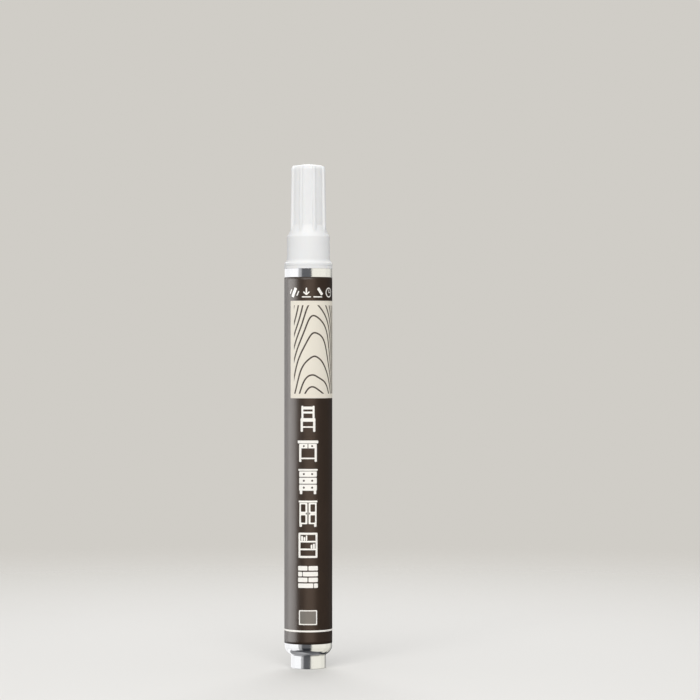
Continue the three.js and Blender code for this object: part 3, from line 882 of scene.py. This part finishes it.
# %% [markdown]
# ## The print
# The film is printed dark brown, with a cream panel that carries wood grain, a thin white line near the
# tail, small signs for shaking, pressing, drawing and drying at the top, signs of the furniture that the
# pen mends, and a colour chip. Every flat shape is made of rounded blocks in the plane of the flat label, so
# one group does them all: it measures the distance from a block with rounded corners, which may be turned,
# and gives 1 inside and 0 outside.

# %% One printed block
INK_EDGE = 0.02


def make_printed_block():
    """Inside a block: q = |turned(p - centre)| - (half size - corner), and length(max(q, 0)) < corner."""
    vector, number = "NodeSocketVector", "NodeSocketFloat"
    inputs = {"Place": VECTOR_INPUT, "Centre": VECTOR_INPUT, "Half size": (vector, (1, 1, 0)),
              "Corner": (number, 0.2), "Turn": (number, 0.0)}
    tree, given, out = new_group("Printed block", inputs, ["Ink"])
    offset = vector_node(tree, "SUBTRACT", given["Place"], given["Centre"])
    turn_inputs = {"Vector": offset, "Angle": given["Turn"]}
    turned_offset = add_node(tree, "ShaderNodeVectorRotate", turn_inputs, rotation_type="Z_AXIS").outputs[0]
    size = vector_node(tree, "ABSOLUTE", turned_offset)
    corner = add_node(tree, "ShaderNodeCombineXYZ", {0: given["Corner"], 1: given["Corner"]}).outputs[0]
    core = vector_node(tree, "SUBTRACT", given["Half size"], corner)
    outside = vector_node(tree, "MAXIMUM", vector_node(tree, "SUBTRACT", size, core))
    past = math_node(tree, "SUBTRACT", length_node(tree, outside), given["Corner"])
    tree.links.new(ramp_node(tree, past, -INK_EDGE, INK_EDGE, 1.0, 0.0), out["Ink"])
    return tree


printed_block = make_printed_block()
print("group:", printed_block.name)

# %% [markdown]
# The signs are lists of blocks in millimetres on the flat label: offset across and up from the sign's
# middle, half width, half height, and where needed a turn in degrees and a corner radius. A cut is a block
# that takes ink away again. A folded sign has two like halves, so its list holds the right half and the
# distance from its middle line takes the place of the offset across.

# %% The signs
CHAIR = [(1.75, 1.9, 0.32, 2.1), (0, 3.3, 1.6, 0.45), (0, 1.9, 1.6, 0.32), (0, -0.4, 2.35, 0.55),
         (1.95, -2.5, 0.36, 1.6), (0, -2.6, 1.8, 0.22)]
DESK = [(0, 2.6, 3.3, 0.45), (0, 1.3, 2.8, 0.7), (2.45, -1.3, 0.36, 2.3), (0, -2.5, 2.3, 0.22)]
DESK_CUTS = [(1.3, 1.3, 0.28, 0.28), (0, 1.3, 0.12, 0.75)]
CHEST = [(0, 3.75, 3.1, 0.28), (0, 2.45, 2.8, 0.85), (0, 0.4, 2.8, 0.95), (0, -1.75, 2.8, 0.95),
         (2.2, -3.2, 0.4, 0.6)]
CHEST_CUTS = [(1.3, level, 0.3, 0.3) for level in (2.45, 0.4, -1.75)]
CUPBOARD = [(0, 3.75, 3.0, 0.3), (1.45, 0.05, 1.27, 3.3), (2.3, -3.6, 0.4, 0.5)]
CUPBOARD_CUTS = [(1.5, 1.75, 0.72, 1.15), (1.5, -1.65, 0.72, 1.15), (0.5, 0.05, 0.16, 0.3)]
BOARDS = [(-1.65, 2.7, 1.5, 0.7), (1.65, 2.7, 1.5, 0.7), (-2.5, 0.9, 0.65, 0.7), (0.75, 0.9, 2.4, 0.7),
          (-1.65, -0.9, 1.5, 0.7), (1.65, -0.9, 1.5, 0.7), (-0.75, -2.7, 2.4, 0.7), (2.5, -2.7, 0.65, 0.7)]
SHELVES = [(-2.7, 0, 0.32, 3.9), (2.7, 0, 0.32, 3.9), (0, 3.6, 3.0, 0.32), (0, 1.15, 2.7, 0.26),
           (0, -1.25, 2.7, 0.26), (0, -3.6, 3.0, 0.32), (-1.85, 2.15, 0.32, 0.75), (-1.1, 2.0, 0.27, 0.6),
           (-0.45, 2.25, 0.24, 0.85), (1.85, -0.25, 0.32, 0.75), (1.1, -0.4, 0.27, 0.6)]
SHAKE = [(0, 0, 0.5, 1.55, 25), (-1.35, 0.3, 0.18, 0.8, 25), (1.35, -0.3, 0.18, 0.8, 25)]
PRESS = [(0, 0.35, 0.22, 1.1), (0.45, -0.27, 0.2, 0.68, 45), (0, -1.4, 1.45, 0.18)]
DRAW = [(0.35, 0.3, 0.45, 1.3, -35), (-0.4, -1.4, 1.5, 0.18)]
DRY = [(0, 0, 1.55, 1.55, 0, 1.55)]
DRY_CUTS = [(0, 0, 1.2, 1.2, 0, 1.2)]
DRY_HANDS = [(0, 0.42, 0.14, 0.55), (0.34, 0, 0.42, 0.14)]
SIGNS_FOOT = 24.0
SIGNS_HEAD = 83.0
USE_LEVEL = 117.3
USE_MIDDLE = 1.55
USE_STEP = 4.1
furniture_signs = [(CHAIR, [], True), (DESK, DESK_CUTS, True), (CHEST, CHEST_CUTS, True),
                   (CUPBOARD, CUPBOARD_CUTS, True), (SHELVES, [], False), (BOARDS, [], False)]
use_signs = [(SHAKE, [], False), (PRESS, [], True), (DRAW, [], False), (DRY, DRY_CUTS, False)]
print("signs:", len(furniture_signs), "of furniture and", len(use_signs), "of use")

# %% Ink of blocks and signs
BLOCK_CORNER = 0.25


def ink_of(tree, flat, blocks):
    """The ink of several blocks at a place on the flat label: the largest of their masks."""
    total = None
    for across, up, half_width, half_height, *rest in blocks:
        turn = np.radians(rest[0]) if rest else 0.0
        corner = rest[1] if len(rest) > 1 else min(BLOCK_CORNER, half_width, half_height)
        inputs = {"Place": flat, "Centre": (across, up, 0), "Half size": (half_width, half_height, 0),
                  "Corner": corner, "Turn": turn}
        ink = use_group(tree, printed_block, inputs)["Ink"]
        total = ink if total is None else math_node(tree, "MAXIMUM", total, ink)
    return total


def panel_ink(tree, flat, left, right, foot, head):
    """The ink of a block given by its four edges."""
    block = ((left + right) / 2, (foot + head) / 2, (right - left) / 2, (head - foot) / 2)
    return ink_of(tree, flat, [block])


def sign_ink(tree, flat, sign, middle):
    """One sign's ink: its blocks less its cuts, at offsets from its middle, folded over that or not."""
    blocks, cuts, folded = sign
    place_in_sign = vector_node(tree, "SUBTRACT", flat, (*middle, 0))
    if folded:
        parts = add_node(tree, "ShaderNodeSeparateXYZ", {0: place_in_sign}).outputs
        across = math_node(tree, "ABSOLUTE", parts[0])
        place_in_sign = add_node(tree, "ShaderNodeCombineXYZ", {0: across, 1: parts[1]}).outputs[0]
    ink = ink_of(tree, place_in_sign, blocks)
    if cuts:
        kept = math_node(tree, "SUBTRACT", 1.0, ink_of(tree, place_in_sign, cuts))
        ink = math_node(tree, "MULTIPLY", ink, kept)
    return ink


def all_signs(tree, flat):
    """White ink of every sign: those of furniture down the front, and those of use in a row at the top."""
    step = (SIGNS_HEAD - SIGNS_FOOT) / len(furniture_signs)
    middles = [(0, SIGNS_HEAD - (k + 0.5) * step) for k in range(len(furniture_signs))]
    first = USE_MIDDLE - USE_STEP * (len(use_signs) - 1) / 2
    middles += [(first + k * USE_STEP, USE_LEVEL) for k in range(len(use_signs))]
    total = sign_ink(tree, flat, (DRY_HANDS, [], False), middles[-1])
    for sign, middle in zip(furniture_signs + use_signs, middles):
        total = math_node(tree, "MAXIMUM", total, sign_ink(tree, flat, sign, middle))
    return total


# %% [markdown]
# Wood grain on the panel is drawn as the contour lines of a slope with a parabola across it, which gives
# the arches of a flat-sawn board, and a slow noise lets them wander. A line's width on the slope isn't its
# width on the label, so the slope is a group that is read at three places close together: their differences
# give its steepness, and dividing by that keeps every line as wide as it is meant to be.

# %% Wood grain
GRAIN_RISE = 0.2
GRAIN_ARCH = 0.06
GRAIN_WANDER = 2.0
GRAIN_WANDER_SCALE = (0.15, 0.06, 1)
GRAIN_LINE = 0.4
GRAIN_LINE_EDGE = 0.08
GRAIN_STEP = 0.02
GRAIN_MIDDLE = (2.2, 101.3, 0)


def make_grain_slope():
    """The slope at a place (x, y): rise y + arch x^2 + wander noise."""
    tree, given, out = new_group("Grain slope", {"Place": VECTOR_INPUT}, ["Slope"])
    parts = add_node(tree, "ShaderNodeSeparateXYZ", {0: given["Place"]}).outputs
    along_grain = vector_node(tree, "MULTIPLY", given["Place"], GRAIN_WANDER_SCALE)
    noise = noise_node(tree, along_grain, scale=1.0, detail=0.0)
    arch = math_node(tree, "MULTIPLY", math_node(tree, "MULTIPLY", parts[0], parts[0]), GRAIN_ARCH)
    board = math_node(tree, "MULTIPLY_ADD", parts[1], GRAIN_RISE, arch)
    tree.links.new(math_node(tree, "MULTIPLY_ADD", noise, GRAIN_WANDER, board), out["Slope"])
    return tree


def grain_ink(tree, flat, slope_group):
    """Contour lines of the slope: ink where the fraction's distance from 1/2 over the steepness is small."""
    steps = [(0, 0, 0), (GRAIN_STEP, 0, 0), (0, GRAIN_STEP, 0)]
    spots = [vector_node(tree, "SUBTRACT", flat, tuple(np.subtract(GRAIN_MIDDLE, step))) for step in steps]
    slope, right, above = [use_group(tree, slope_group, {"Place": spot})["Slope"] for spot in spots]
    leans = [math_node(tree, "SUBTRACT", value, slope) for value in (right, above)]
    squares = [math_node(tree, "MULTIPLY", lean, lean) for lean in leans]
    steep = math_node(tree, "SQRT", math_node(tree, "ADD", *squares))
    off_line = math_node(tree, "ABSOLUTE", math_node(tree, "SUBTRACT", math_node(tree, "FRACT", slope), 0.5))
    distance = math_node(tree, "MULTIPLY", math_node(tree, "DIVIDE", off_line, steep), GRAIN_STEP)
    return ramp_node(tree, distance, GRAIN_LINE / 2, GRAIN_LINE / 2 + GRAIN_LINE_EDGE, 1.0, 0.0)


# %% The film's finish
PANEL_LEFT = -6.07
PANEL_RIGHT = 13.4
PANEL_FOOT = 84.4
PANEL_HEAD = 114.7
GRAIN_MARGIN = 1.4
LINE_FOOT = 11.76
LINE_HEAD = 12.3
CHIP_LEVEL = 16.3
CHIP_HALF_WIDTH = 2.9
CHIP_HALF_HEIGHT = 2.3
CHIP_BORDER = 0.35
INK_BROWN = (0.035, 0.0209, 0.0125)
INK_BROWN_DRIFT = 1.12
INK_CREAM = (0.83, 0.78, 0.68)
INK_WHITE = (0.97, 0.95, 0.90)
INK_GRAIN = (0.055, 0.038, 0.026)
INK_CHIP = (0.20, 0.185, 0.165)
FILM_GRAIN = 2500.0
FILM_ROUGHNESS = 0.36
FILM_SMUDGE_ROUGHNESS = 0.08
FILM_SPECULAR = 0.45
FILM_RELIEF = 0.0015 * MM
PANEL_EXTRA_ROUGHNESS = 0.4


def flat_place(tree):
    """The place on the flat label in millimetres: across from the front's middle, and up from the tail."""
    uv = add_node(tree, "ShaderNodeUVMap", uv_map="flat_label").outputs[0]
    inputs = {"Vector": uv, "Location": (-flat_width / 2, film_low.z / MM, 0),
              "Scale": (flat_width, flat_height, 1)}
    return add_node(tree, "ShaderNodeMapping", inputs).outputs[0]


def chip_ink(tree, flat, border):
    """The colour chip's block, smaller by a border all round."""
    return ink_of(tree, flat, [(0, CHIP_LEVEL, CHIP_HALF_WIDTH - border, CHIP_HALF_HEIGHT - border)])


def printed_film_finish():
    """Brown film with the panel, line, signs and chip laid over it in turn, and a satin surface over all."""
    made, tree, shader, where = new_material("printed_film")
    flat = flat_place(tree)
    panel = panel_ink(tree, flat, PANEL_LEFT, PANEL_RIGHT, PANEL_FOOT, PANEL_HEAD)
    grain_area = panel_ink(tree, flat, PANEL_LEFT + GRAIN_MARGIN, PANEL_RIGHT - GRAIN_MARGIN,
                           PANEL_FOOT + GRAIN_MARGIN, PANEL_HEAD - GRAIN_MARGIN)
    grain = math_node(tree, "MULTIPLY", grain_ink(tree, flat, make_grain_slope()), grain_area)
    line = panel_ink(tree, flat, -flat_width, flat_width, LINE_FOOT, LINE_HEAD)
    white = math_node(tree, "MAXIMUM", all_signs(tree, flat), line)
    white = math_node(tree, "MAXIMUM", white, chip_ink(tree, flat, 0))
    skin = use_group(tree, moulded_skin, {"Position": where, "Grain": FILM_GRAIN})
    colour = mix_colour(tree, skin["Drift"], INK_BROWN, scaled(INK_BROWN, INK_BROWN_DRIFT))
    for mask, ink in ((panel, INK_CREAM), (grain, INK_GRAIN), (white, INK_WHITE),
                      (chip_ink(tree, flat, CHIP_BORDER), INK_CHIP)):
        colour = mix_colour(tree, mask, colour, ink)
    tree.links.new(colour, shader["Base Color"])
    roughness = math_node(tree, "MULTIPLY_ADD", panel, PANEL_EXTRA_ROUGHNESS, FILM_ROUGHNESS)
    smudged_gloss(tree, shader, where, FILM_SMUDGE_ROUGHNESS, roughness)
    shader["Specular IOR Level"].default_value = FILM_SPECULAR
    bump(tree, shader, skin["Height"], FILM_RELIEF)
    return made


label.data.materials.append(printed_film_finish())
print("finish:", label.data.materials[0].name, "with", len(label.data.materials[0].node_tree.nodes), "nodes")

# %% [markdown]
# ## Plastics
# The cap and the nose are white polypropylene: a little light goes in and comes out again, so their shading
# is soft, and the surface is only half glossy. The inner cap, the cage and the stem are the same plastic
# without pigment, and let more light through.

# %% Plastic finishes
PLASTIC_DRIFT = 0.975
PLASTIC_GRAIN = 3200.0
PLASTIC_SMUDGE_ROUGHNESS = 0.12
PLASTIC_SCATTER = 0.25
PLASTIC_SCATTER_CHANNELS = (1.0, 0.9, 0.8)
PLASTIC_RELIEF = 0.003 * MM
WHITE_PLASTIC = (0.87, 0.875, 0.88)
NATURAL_PLASTIC = (0.80, 0.79, 0.75)


def plastic_finish(name, colour, roughness, specular, depth):
    """A moulded plastic with fine grain, drifting colour, smudged gloss and light scattered to a depth."""
    made, tree, shader, where = new_material(name)
    skin = use_group(tree, moulded_skin, {"Position": where, "Grain": PLASTIC_GRAIN})
    drifting = mix_colour(tree, skin["Drift"], colour, scaled(colour, PLASTIC_DRIFT))
    tree.links.new(drifting, shader["Base Color"])
    smudged_gloss(tree, shader, where, PLASTIC_SMUDGE_ROUGHNESS, roughness)
    shader["Specular IOR Level"].default_value = specular
    shader["Subsurface Weight"].default_value = PLASTIC_SCATTER
    shader["Subsurface Radius"].default_value = scaled(PLASTIC_SCATTER_CHANNELS, depth)
    shader["Subsurface Scale"].default_value = 1.0
    bump(tree, shader, skin["Height"], PLASTIC_RELIEF)
    return made


white_plastic = plastic_finish("white_polypropylene", WHITE_PLASTIC,
                               roughness=0.45, specular=0.3, depth=0.3 * MM)
natural_plastic = plastic_finish("natural_polypropylene", NATURAL_PLASTIC,
                                 roughness=0.42, specular=0.45, depth=2.0 * MM)
for piece in (cap, nose):
    piece.data.materials.append(white_plastic)
inner_cap.data.materials.append(natural_plastic)
for node in ("valve_cage", "valve_stem"):
    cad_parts[node].material_slots[0].material = natural_plastic
print("finishes:", white_plastic.name, natural_plastic.name)

# %% [markdown]
# ## Fibre, rubber and steel
# The nib is pressed fibre: dry, with lengthwise strands and fine pores. The seat is matt black rubber. The
# spring wire and the ball are steel, and the ball is polished.

# %% Nib, seat, spring and ball finishes
FIBRE_DARK = (0.80, 0.77, 0.70)
FIBRE_PALE = (0.93, 0.91, 0.86)
FIBRE_FINENESS = 0.6
FIBRE_ROUGHNESS = 0.85
FIBRE_SHEEN = 0.25
FIBRE_RELIEF = 0.03 * MM
PORE_SCALE = 5200.0
PORE_ROUGHNESS = 0.1
PORE_HEIGHT = 0.6
RUBBER_DARK = (0.012, 0.012, 0.013)
RUBBER_PALE = (0.02, 0.02, 0.021)
RUBBER_GRAIN = 6000.0
RUBBER_ROUGHNESS = 0.6
RUBBER_GRAIN_ROUGHNESS = 0.15
RUBBER_RELIEF = 0.006 * MM
WIRE_STEEL = (0.52, 0.53, 0.55)
BALL_STEEL = (0.62, 0.63, 0.65)
STEEL_SMUDGED = 0.9
STEEL_SMUDGE_ROUGHNESS = 0.15


def fibre_finish():
    """Dry fibre: strands along the nib and pores between them, in the colour and in the bump."""
    made, tree, shader, where = new_material("pressed_fibre")
    strands = use_group(tree, drawn_lines, {"Position": where, "Fineness": FIBRE_FINENESS})["Height"]
    pore_inputs = {"Vector": where, "Scale": PORE_SCALE}
    pores = add_node(tree, "ShaderNodeTexVoronoi", pore_inputs).outputs["Distance"]
    tree.links.new(mix_colour(tree, strands, FIBRE_DARK, FIBRE_PALE), shader["Base Color"])
    roughness = math_node(tree, "MULTIPLY_ADD", pores, PORE_ROUGHNESS, FIBRE_ROUGHNESS)
    tree.links.new(roughness, shader["Roughness"])
    shader["Sheen Weight"].default_value = FIBRE_SHEEN
    bump(tree, shader, math_node(tree, "MULTIPLY_ADD", pores, PORE_HEIGHT, strands), FIBRE_RELIEF)
    return made


def rubber_finish():
    """Matt black rubber with a fine grain."""
    made, tree, shader, where = new_material("seat_rubber")
    skin = use_group(tree, moulded_skin, {"Position": where, "Grain": RUBBER_GRAIN})
    tree.links.new(mix_colour(tree, skin["Drift"], RUBBER_DARK, RUBBER_PALE), shader["Base Color"])
    roughness = math_node(tree, "MULTIPLY_ADD", skin["Height"], RUBBER_GRAIN_ROUGHNESS, RUBBER_ROUGHNESS)
    tree.links.new(roughness, shader["Roughness"])
    bump(tree, shader, skin["Height"], RUBBER_RELIEF)
    return made


def steel_finish(name, colour, roughness):
    """Steel whose roughness and colour follow the smudges."""
    made, tree, shader, where = new_material(name)
    smudge = smudged_gloss(tree, shader, where, STEEL_SMUDGE_ROUGHNESS, roughness)
    tree.links.new(mix_colour(tree, smudge, colour, scaled(colour, STEEL_SMUDGED)), shader["Base Color"])
    shader["Metallic"].default_value = 1.0
    return made


nib.data.materials.append(fibre_finish())
seat.data.materials.append(rubber_finish())
spring.data.materials.append(steel_finish("spring_wire", WIRE_STEEL, roughness=0.25))
ball.data.materials.append(steel_finish("polished_steel", BALL_STEEL, roughness=0.1))
print("finishes:", [piece.data.materials[0].name for piece in (nib, seat, spring, ball)])

# %% [markdown]
# ## The stage
# A pale floor carries the pen's shadow and fades into the pale background at a distance, so that no horizon
# cuts across the picture. The background is bright to the camera, gives an even light to the surfaces, and
# is dark in reflections, as the room behind a camera is. It is darkest in a band below the horizon, which
# the rounded shoulder mirrors as a dark crescent. The bare tail has to show the same bands as the rest of
# the metal, as it does where a pen hangs free, so the floor is left out of reflections.

# %% Floor and background
FLOOR_SIZE = 4.0
FLOOR_CLEAR = 0.10
FLOOR_GONE = 0.55
FLOOR_COLOUR = (0.74, 0.73, 0.71)
FLOOR_ROUGHNESS = 0.7
FLOOR_SPECULAR = 0.2
BACKGROUND = (0.63, 0.61, 0.57)
EVEN_LIGHT = (0.56, 0.56, 0.56)
DARK_ROOM = (0.125, 0.128, 0.135)
DARK_BAND = (0.03, 0.032, 0.037)
BAND_MIDDLE = -0.55
BAND_CORE = 0.15
BAND_EDGE = 0.42


def floor_finish():
    """A pale matt floor that turns transparent with the distance from the pen, and is so from below."""
    made, tree, shader, where = new_material("pale_floor")
    shader["Base Color"].default_value = (*FLOOR_COLOUR, 1)
    shader["Roughness"].default_value = FLOOR_ROUGHNESS
    shader["Specular IOR Level"].default_value = FLOOR_SPECULAR
    from_below = add_node(tree, "ShaderNodeNewGeometry").outputs["Backfacing"]
    near = ramp_node(tree, length_node(tree, where), FLOOR_CLEAR, FLOOR_GONE, 1.0, 0.0)
    shown = math_node(tree, "MULTIPLY", near, math_node(tree, "SUBTRACT", 1.0, from_below))
    tree.links.new(shown, shader["Alpha"])
    return made


def stage_floor():
    """A flat square under the pen."""
    side = np.array([-FLOOR_SIZE, FLOOR_SIZE]) / 2
    x, y = np.meshgrid(side, side, indexing="ij")
    floor = mesh_piece("floor", np.stack([x, y, np.zeros_like(x)], axis=-1), grid_faces(2, 2))
    floor.data.materials.append(floor_finish())
    floor.visible_glossy = False


def studio_world():
    """A background that the camera, surfaces and reflections each see at a brightness of its own.

    In reflections it is darkest where a ray's rise, its Z, is within the core of the band's middle.
    """
    world = bpy.data.worlds.new("studio")
    world.use_nodes = True
    tree = world.node_tree
    path = add_node(tree, "ShaderNodeLightPath").outputs
    direction = add_node(tree, "ShaderNodeTexCoord").outputs["Generated"]
    rise = add_node(tree, "ShaderNodeSeparateXYZ", {0: direction}).outputs[2]
    from_band = math_node(tree, "ABSOLUTE", math_node(tree, "SUBTRACT", rise, BAND_MIDDLE))
    mirrored = mix_colour(tree, ramp_node(tree, from_band, BAND_CORE, BAND_EDGE), DARK_BAND, DARK_ROOM)
    colour = mix_colour(tree, path["Is Glossy Ray"], EVEN_LIGHT, mirrored)
    colour = mix_colour(tree, path["Is Camera Ray"], colour, BACKGROUND)
    tree.links.new(colour, tree.nodes["Background"].inputs["Color"])
    bpy.context.scene.world = world


stage_floor()
studio_world()
bpy.context.scene.view_settings.view_transform = "Standard"
print("background", BACKGROUND, "even light", EVEN_LIGHT)

# %% [markdown]
# ## Lights
# Two lamps shade the pen: a key box high in front and a little left, which is strongest on the cap's
# sloping shoulder and falls off to the right, and a softer one behind. A bright metal tube shows its
# surroundings as lengthwise bands, so where each upright box starts and ends is read off the bare metal:
# white on the left, with a dim box beside it that softens the band's edge, then a dark band where only the
# room is mirrored, and a warm band on the right. One more dim box, from below, is for metal that turns
# downwards. The film is far less shiny, and its broad sheen on the left and in the middle needs brighter
# boxes. Light linking lets each finish mirror boxes of its own.

# %% Soft boxes
LAMP_TARGET = 0.1
UPRIGHT_DISTANCE = 0.8


def soft_box(name, bearing, rise, distance, size, radiance, colour):
    """A rectangular lamp facing the pen, whose power is pi * radiance * area.

    Bearing 0 is the front and 90 the right, and rise is the angle above the pen's middle, both in degrees.
    """
    lamp = bpy.data.lights.new(name, "AREA")
    lamp.shape = "RECTANGLE"
    lamp.size, lamp.size_y = size
    lamp.energy = np.pi * radiance * size[0] * size[1]
    lamp.color = colour
    holder = bpy.data.objects.new(name, lamp)
    bpy.context.scene.collection.objects.link(holder)
    bearing, rise = np.radians([bearing, rise])
    across, forward = distance * np.cos(rise) * np.sin(bearing), distance * np.cos(rise) * np.cos(bearing)
    holder.location = (across, -forward, LAMP_TARGET + distance * np.sin(rise))
    holder.rotation_euler = (np.pi / 2 - rise, 0, bearing)
    holder.visible_camera = False
    return holder


def mirrored_only_in(holder, piece):
    """Lets a lamp show in the gloss of one piece and nowhere else."""
    mirrors = bpy.data.collections.new(f"{holder.name}_mirrors")
    mirrors.objects.link(piece)
    holder.light_linking.receiver_collection = mirrors
    holder.visible_diffuse = False


def upright_box(piece, name, start, end, height, radiance, colour):
    """A box that stands upright between two bearings, 2 * distance * tan(half of their angle) wide."""
    width = 2 * UPRIGHT_DISTANCE * np.tan(np.radians(end - start) / 2)
    box = soft_box(name, (start + end) / 2, 0, UPRIGHT_DISTANCE, (width, height), radiance, colour)
    mirrored_only_in(box, piece)


# %% The lamps
WHITE = (1.0, 1.0, 1.0)
KEY_WHITE = (1.0, 0.995, 0.98)
WARM = (1.0, 0.97, 0.84)
AMBER = (1.0, 0.8, 0.66)
# Each upright box: its name, the bearings where it starts and ends, its height, radiance and colour.
METAL_BOXES = [("metal_left_edge", -48, -32, 1.5, 0.4, WHITE),
               ("metal_left", -102, -48, 1.5, 1.08, WHITE),
               ("metal_left_back", -172, -102, 1.24, 1.0, WHITE),
               ("metal_right", 17, 94, 2.4, 0.9, WARM),
               ("metal_right_side", 94, 132, 2.0, 0.8, WARM),
               ("metal_right_back", 132, 156, 1.24, 0.5, WARM)]
FILM_BOXES = [("film_left", -112, -59, 1.1, 5.9, WHITE),
              ("film_left_back", -150, -112, 1.1, 1.6, WHITE),
              ("film_front", -16, 33, 1.1, 1.46, AMBER)]
soft_box("key", bearing=-7, rise=47, distance=1.1, size=(0.8, 0.8), radiance=3.6, colour=KEY_WHITE)
soft_box("back", bearing=180, rise=35, distance=1.1, size=(0.8, 0.8), radiance=2.4, colour=WHITE)
for box in METAL_BOXES:
    upright_box(barrel, *box)
below = soft_box("metal_below", bearing=-140, rise=-63, distance=0.447, size=(0.5, 0.5), radiance=0.3,
                 colour=WHITE)
mirrored_only_in(below, barrel)
for box in FILM_BOXES:
    upright_box(label, *box)

# %% [markdown]
# ## Camera
# The photograph looks straight at the pen, level with the middle of the cream panel, and the pen stands left
# of the middle of the frame. The camera's distance is a guess, which sets how much the tail and the top seem
# to curve.

# %% Camera
FRAME_PIXELS = 700
LABEL_DIAMETER = 15
LABEL_PIXELS = 47.9
MM_PER_PIXEL = LABEL_DIAMETER / LABEL_PIXELS
PEN_AXIS_PIXEL = 308.35
TAIL_PIXEL = 667.4
CAMERA_DISTANCE = 0.85
SENSOR = 36

camera_data = bpy.data.cameras.new("camera")
camera_data.sensor_width = SENSOR
camera_data.lens = SENSOR * CAMERA_DISTANCE / (FRAME_PIXELS * MM_PER_PIXEL * MM)
camera = bpy.data.objects.new("camera", camera_data)
middle_pixel = FRAME_PIXELS / 2
camera.location = ((middle_pixel - PEN_AXIS_PIXEL) * MM_PER_PIXEL * MM, -CAMERA_DISTANCE,
                   (TAIL_PIXEL - middle_pixel) * MM_PER_PIXEL * MM)
camera.rotation_euler = (np.pi / 2, 0, 0)
bpy.context.scene.collection.objects.link(camera)
bpy.context.scene.camera = camera
print(f"camera: {camera_data.lens:.1f} mm lens, {camera.location.z / MM:.1f} mm above the floor")
